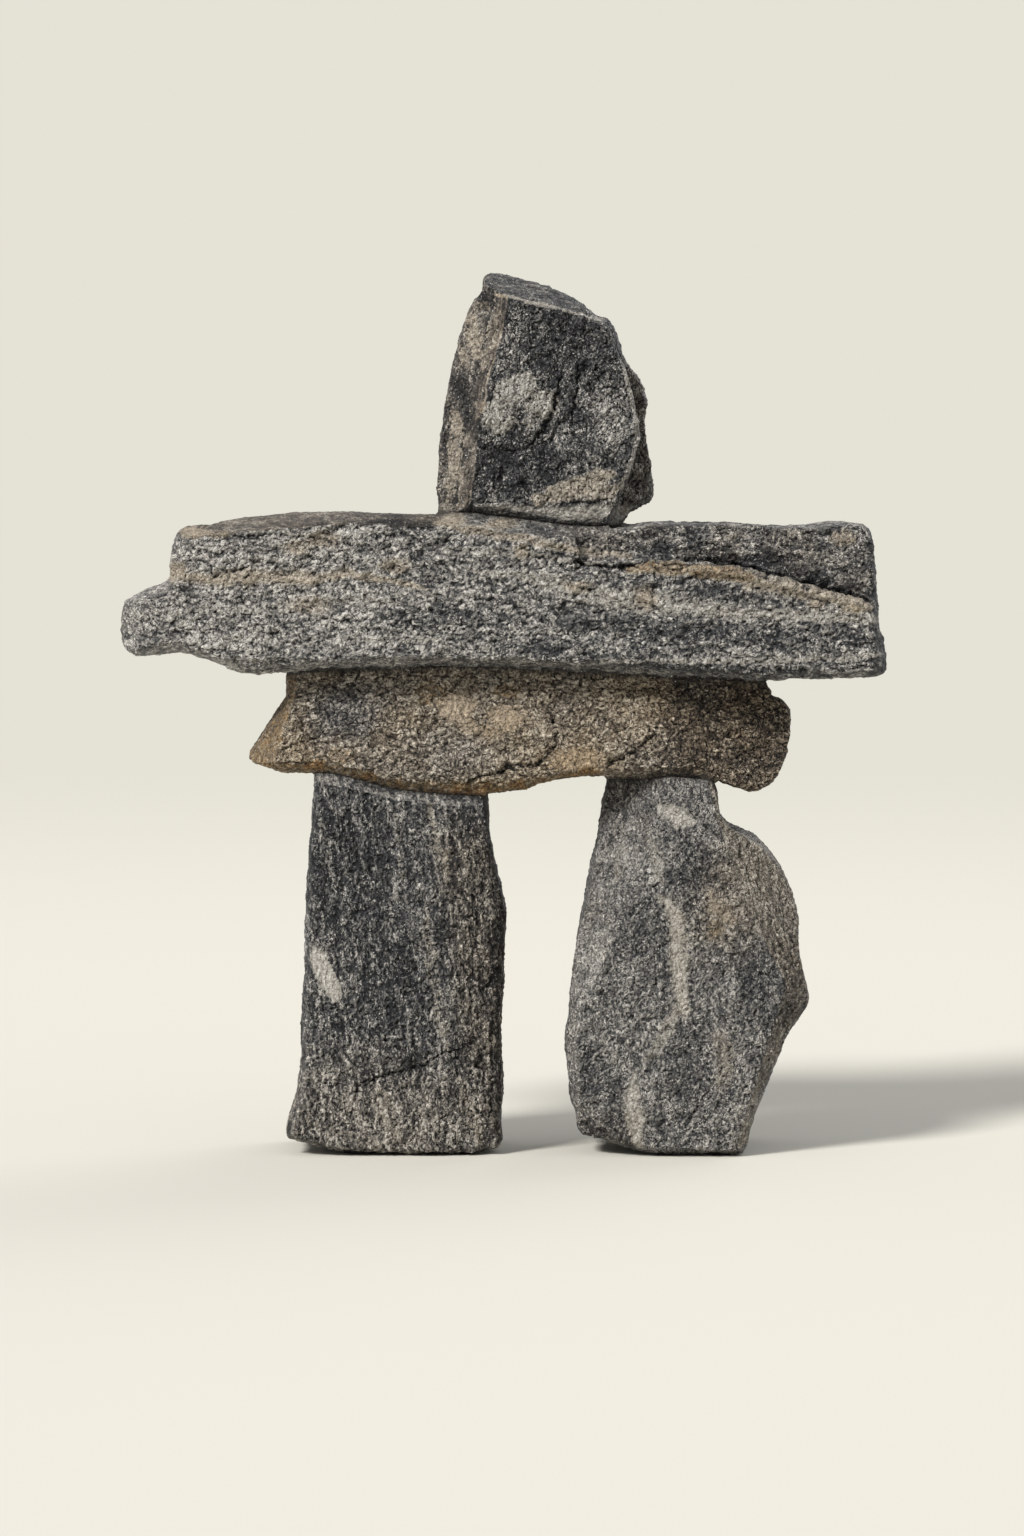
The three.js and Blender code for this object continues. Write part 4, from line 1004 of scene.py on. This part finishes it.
    # painted shade down in the gaps and splits and where the stones bear on each other
    pit = t.maprange(cavity, look["pit"], -1.7, 0.0, look["crevice_shade"], True)
    pit = t.math("MAXIMUM", pit, t.math("MULTIPLY", shut, 0.8))
    col = t.mix(pit, col, srgb(24, 22, 20))

    # glints on the lips of mica sheets and on single plates: painted white into the colour, with lower roughness there
    plates = t.voronoi(mm, look["mica"])
    msep = t.new("ShaderNodeSeparateColor")
    t.put(msep.inputs[0], plates.outputs["Color"])
    single = t.math("MULTIPLY", t.math("GREATER_THAN", msep.outputs[0], look["mica_cut"]), t.maprange(plates.outputs["Distance"], 0.42, 0.30, 0.0, 1.0))
    bright = t.maprange(t.math("MULTIPLY", lip, speck2), 0.50, 0.62, 0.0, 1.0, True)
    glint = t.math("MULTIPLY", t.math("MAXIMUM", single, bright), t.math("MULTIPLY_ADD", light, -0.7, 1.0, clamp=True), clamp=True)
    col = t.mix(t.math("MULTIPLY", glint, look["painted_glint"]), col, srgb(200, 200, 197))
    rough = t.maprange(speck, 0.3, 0.7, look["rough"][0], look["rough"][1])
    rough = t.math("MULTIPLY_ADD", glint, -0.42, rough)
    rough = t.math("MULTIPLY_ADD", smooth, 0.05, rough, clamp=True)

    # relief finer than the mesh
    height = t.math("MULTIPLY", t.math("SUBTRACT", speck, 0.5), 1.2)
    height = t.math("MULTIPLY_ADD", gsep.outputs[0], 0.25, height)
    height = t.math("MULTIPLY_ADD", grains.outputs["Distance"], -0.35, height)
    height = t.math("MULTIPLY_ADD", thread, look["k_thread_bump"], height)
    height = t.math("MULTIPLY_ADD", t.math("MULTIPLY", stair, rough_part), look["k_stair"], height)
    height = t.math("MULTIPLY_ADD", dome, look["k_dome"], height)
    bump = t.new("ShaderNodeBump")
    bump.inputs["Strength"].default_value = look["bump"]
    bump.inputs["Distance"].default_value = 0.0005
    t.put(bump.inputs["Height"], height)

    b = t.new("ShaderNodeBsdfPrincipled")
    t.put(b.inputs["Base Color"], col)
    t.put(b.inputs["Roughness"], rough)
    b.inputs["IOR"].default_value = 1.52
    b.inputs["Specular IOR Level"].default_value = look["spec"]
    t.put(b.inputs["Normal"], bump.outputs[0])
    o = t.new("ShaderNodeOutputMaterial")
    t.put(o.inputs["Surface"], b.outputs[0])
    return mat


GREY = [(0.0, srgb(16, 17, 20)), (0.25, srgb(43, 46, 51)), (0.5, srgb(99, 98, 97)), (0.75, srgb(161, 157, 151)), (1.0, srgb(219, 215, 208))]
BROWN = [(0.0, srgb(24, 20, 16)), (0.25, srgb(58, 50, 41)), (0.5, srgb(106, 95, 81)), (0.75, srgb(156, 144, 127)), (1.0, srgb(208, 199, 184))]
EARTH = [(0.0, srgb(24, 17, 10)), (0.25, srgb(62, 48, 32)), (0.5, srgb(116, 98, 74)), (0.75, srgb(164, 146, 119)), (1.0, srgb(214, 200, 176))]
TAN = [(0.0, srgb(52, 42, 30)), (0.35, srgb(124, 109, 88)), (0.7, srgb(170, 154, 129)), (1.0, srgb(208, 196, 174))]
RUST = [(0.0, srgb(40, 28, 16)), (0.35, srgb(112, 88, 58)), (0.7, srgb(168, 142, 104)), (1.0, srgb(212, 192, 156))]
BASE = dict(speck=1.4, grain=1.9, thread=1.0, mica=2.6, mica_cut=0.95, painted_glint=0.75, k_tone=0.14, k_grain=0.20, k_speck=0.95,
            k_thread=0.45, k_streak=0.13, k_cavity=0.17, k_patch=0.32, lip_highlight=0.46, foot_shade=0.36, k_stair=3.2, sheet=0.58, swirl=1.5,
            levels=5.0, drawn=0.8, scale=0.60, bend=1.6, line=0.07, outline_shade=0.14, k_dome=0.7, pit=-0.8, crevice_shade=0.85, rough=(0.45, 0.75),
            k_thread_bump=0.6, bump=1.0, spec=0.5, base=0.48, stops=GREY, brown=BROWN, rust=TAN, warm=srgb(240, 224, 202))
LOOKS = {
    "head_stone": dict(BASE, base=0.315, mica_cut=0.92, lip_highlight=0.64, k_cavity=0.20, sheet=0.66, rough=(0.38, 0.68), scale=0.75),
    "arm_slab": dict(BASE, base=0.53, k_streak=0.18, scale=0.55),
    "belt_stone": dict(BASE, warm=srgb(240, 217, 186), base=0.64, mica_cut=0.985, k_streak=0.04, k_speck=0.80, lip_highlight=0.46, sheet=0.60, drawn=1.0, scale=0.50, line=0.09,
                       outline_shade=0.24, k_dome=1.2, rough=(0.62, 0.88), brown=EARTH, rust=RUST, k_patch=0.2),
    "left_leg_stone": dict(BASE, base=0.38, k_streak=0.30, k_speck=1.05, k_thread=0.95, k_cavity=0.20, k_thread_bump=1.2, grain=2.3, sheet=0.75,
                           drawn=0.42, scale=0.75, outline_shade=0.08, k_patch=0.2),
    "right_leg_stone": dict(BASE, base=0.545, k_streak=0.12, k_speck=1.10, grain=2.4, speck=1.7, sheet=0.80, scale=0.80, k_patch=0.10),
}

for node, c in STONES.items():
    ob = carve(node, c)
    ob.data.materials.append(rock(node + "_rock", c, LOOKS[node]))
    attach(ob, "root")
    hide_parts(node)
    print("stone", node, len(ob.data.vertices), "vertices", sum(len(p.vertices) - 2 for p in ob.data.polygons), "triangles")

# ------------------------------------------------------------------ stage, light and camera

lo, hi = CAD_LO, CAD_HI
PAPER = srgb(229, 226, 214)

floor_mesh = bpy.data.meshes.new("floor")
bm = bmesh.new()
bmesh.ops.create_grid(bm, x_segments=2, y_segments=2, size=6.0)
bm.to_mesh(floor_mesh)
bm.free()
floor = bpy.data.objects.new("floor", floor_mesh)
bpy.context.scene.collection.objects.link(floor)
fmat = bpy.data.materials.new("floor")
fmat.use_nodes = True
t = Nodes(fmat)
fc = t.new("ShaderNodeTexCoord").outputs["Object"]
bsdf = t.new("ShaderNodeBsdfDiffuse")
bsdf.inputs["Color"].default_value = (0.78, 0.755, 0.682, 1)
fade_len = t.new("ShaderNodeVectorMath", operation="LENGTH")
t.put(fade_len.inputs[0], fc)
clear = t.new("ShaderNodeBsdfTransparent")
mixs = t.new("ShaderNodeMixShader")
t.put(mixs.inputs[0], t.maprange(fade_len.outputs["Value"], 0.35, 1.5, 0.0, 1.0, True))
t.put(mixs.inputs[1], bsdf.outputs[0])
t.put(mixs.inputs[2], clear.outputs[0])
out = t.new("ShaderNodeOutputMaterial")
t.put(out.inputs["Surface"], mixs.outputs[0])
floor_mesh.materials.append(fmat)

scene = bpy.context.scene
world = bpy.data.worlds.new("studio")
scene.world = world
world.use_nodes = True
t = Nodes(world)
path = t.new("ShaderNodeLightPath").outputs["Is Camera Ray"]
seen = t.new("ShaderNodeBackground")
seen.inputs["Color"].default_value = PAPER
seen.inputs["Strength"].default_value = 1.0
fill = t.new("ShaderNodeBackground")
fill.inputs["Color"].default_value = (0.97, 0.985, 1.0, 1)
fill.inputs["Strength"].default_value = 0.42
mixs = t.new("ShaderNodeMixShader")
t.put(mixs.inputs[0], path)
t.put(mixs.inputs[1], fill.outputs[0])
t.put(mixs.inputs[2], seen.outputs[0])
out = t.new("ShaderNodeOutputWorld")
t.put(out.inputs["Surface"], mixs.outputs[0])

sun = bpy.data.lights.new("key", "SUN")
sun.energy = 3.3
sun.angle = math.radians(14)
sun.color = (1.0, 0.975, 0.94)
key = bpy.data.objects.new("key", sun)
towards = Vector((-0.50, -0.64, 0.58)).normalized()
key.rotation_mode = "QUATERNION"
key.rotation_quaternion = towards.to_track_quat("Z", "Y")
scene.collection.objects.link(key)

back_sun = bpy.data.lights.new("back", "SUN")
back_sun.energy = 0.8
back_sun.angle = math.radians(45)
back_fill = bpy.data.objects.new("back", back_sun)
back_fill.rotation_mode = "QUATERNION"
back_fill.rotation_quaternion = Vector((0.55, 0.75, 0.50)).normalized().to_track_quat("Z", "Y")
scene.collection.objects.link(back_fill)

cam_data = bpy.data.cameras.new("camera")
cam_data.sensor_width = 36.0
cam_data.lens = 150.0
cam = bpy.data.objects.new("camera", cam_data)
scene.collection.objects.link(cam)
scene.camera = cam
ELEV = math.radians(3.0)
MIDDLE = Vector((0.00175, 0.0, 0.0764))  # what the middle of the picture looks at
TALL = 0.2008 * 1536 / 1000.0  # metres of the object's middle plane from the top to the bottom of the picture
dist = TALL / 2 / (cam_data.sensor_width / 2 / cam_data.lens)
back = Vector((0, -math.cos(ELEV), math.sin(ELEV)))
cam.location = MIDDLE + back * dist
cam.rotation_mode = "QUATERNION"
cam.rotation_quaternion = (-back).to_track_quat("-Z", "Y")
cam_data.clip_start, cam_data.clip_end = 0.01, 50.0

scene.view_settings.view_transform = "Standard"
scene.view_settings.look = "None"
scene.view_settings.exposure = 0.0
scene.view_settings.gamma = 1.0
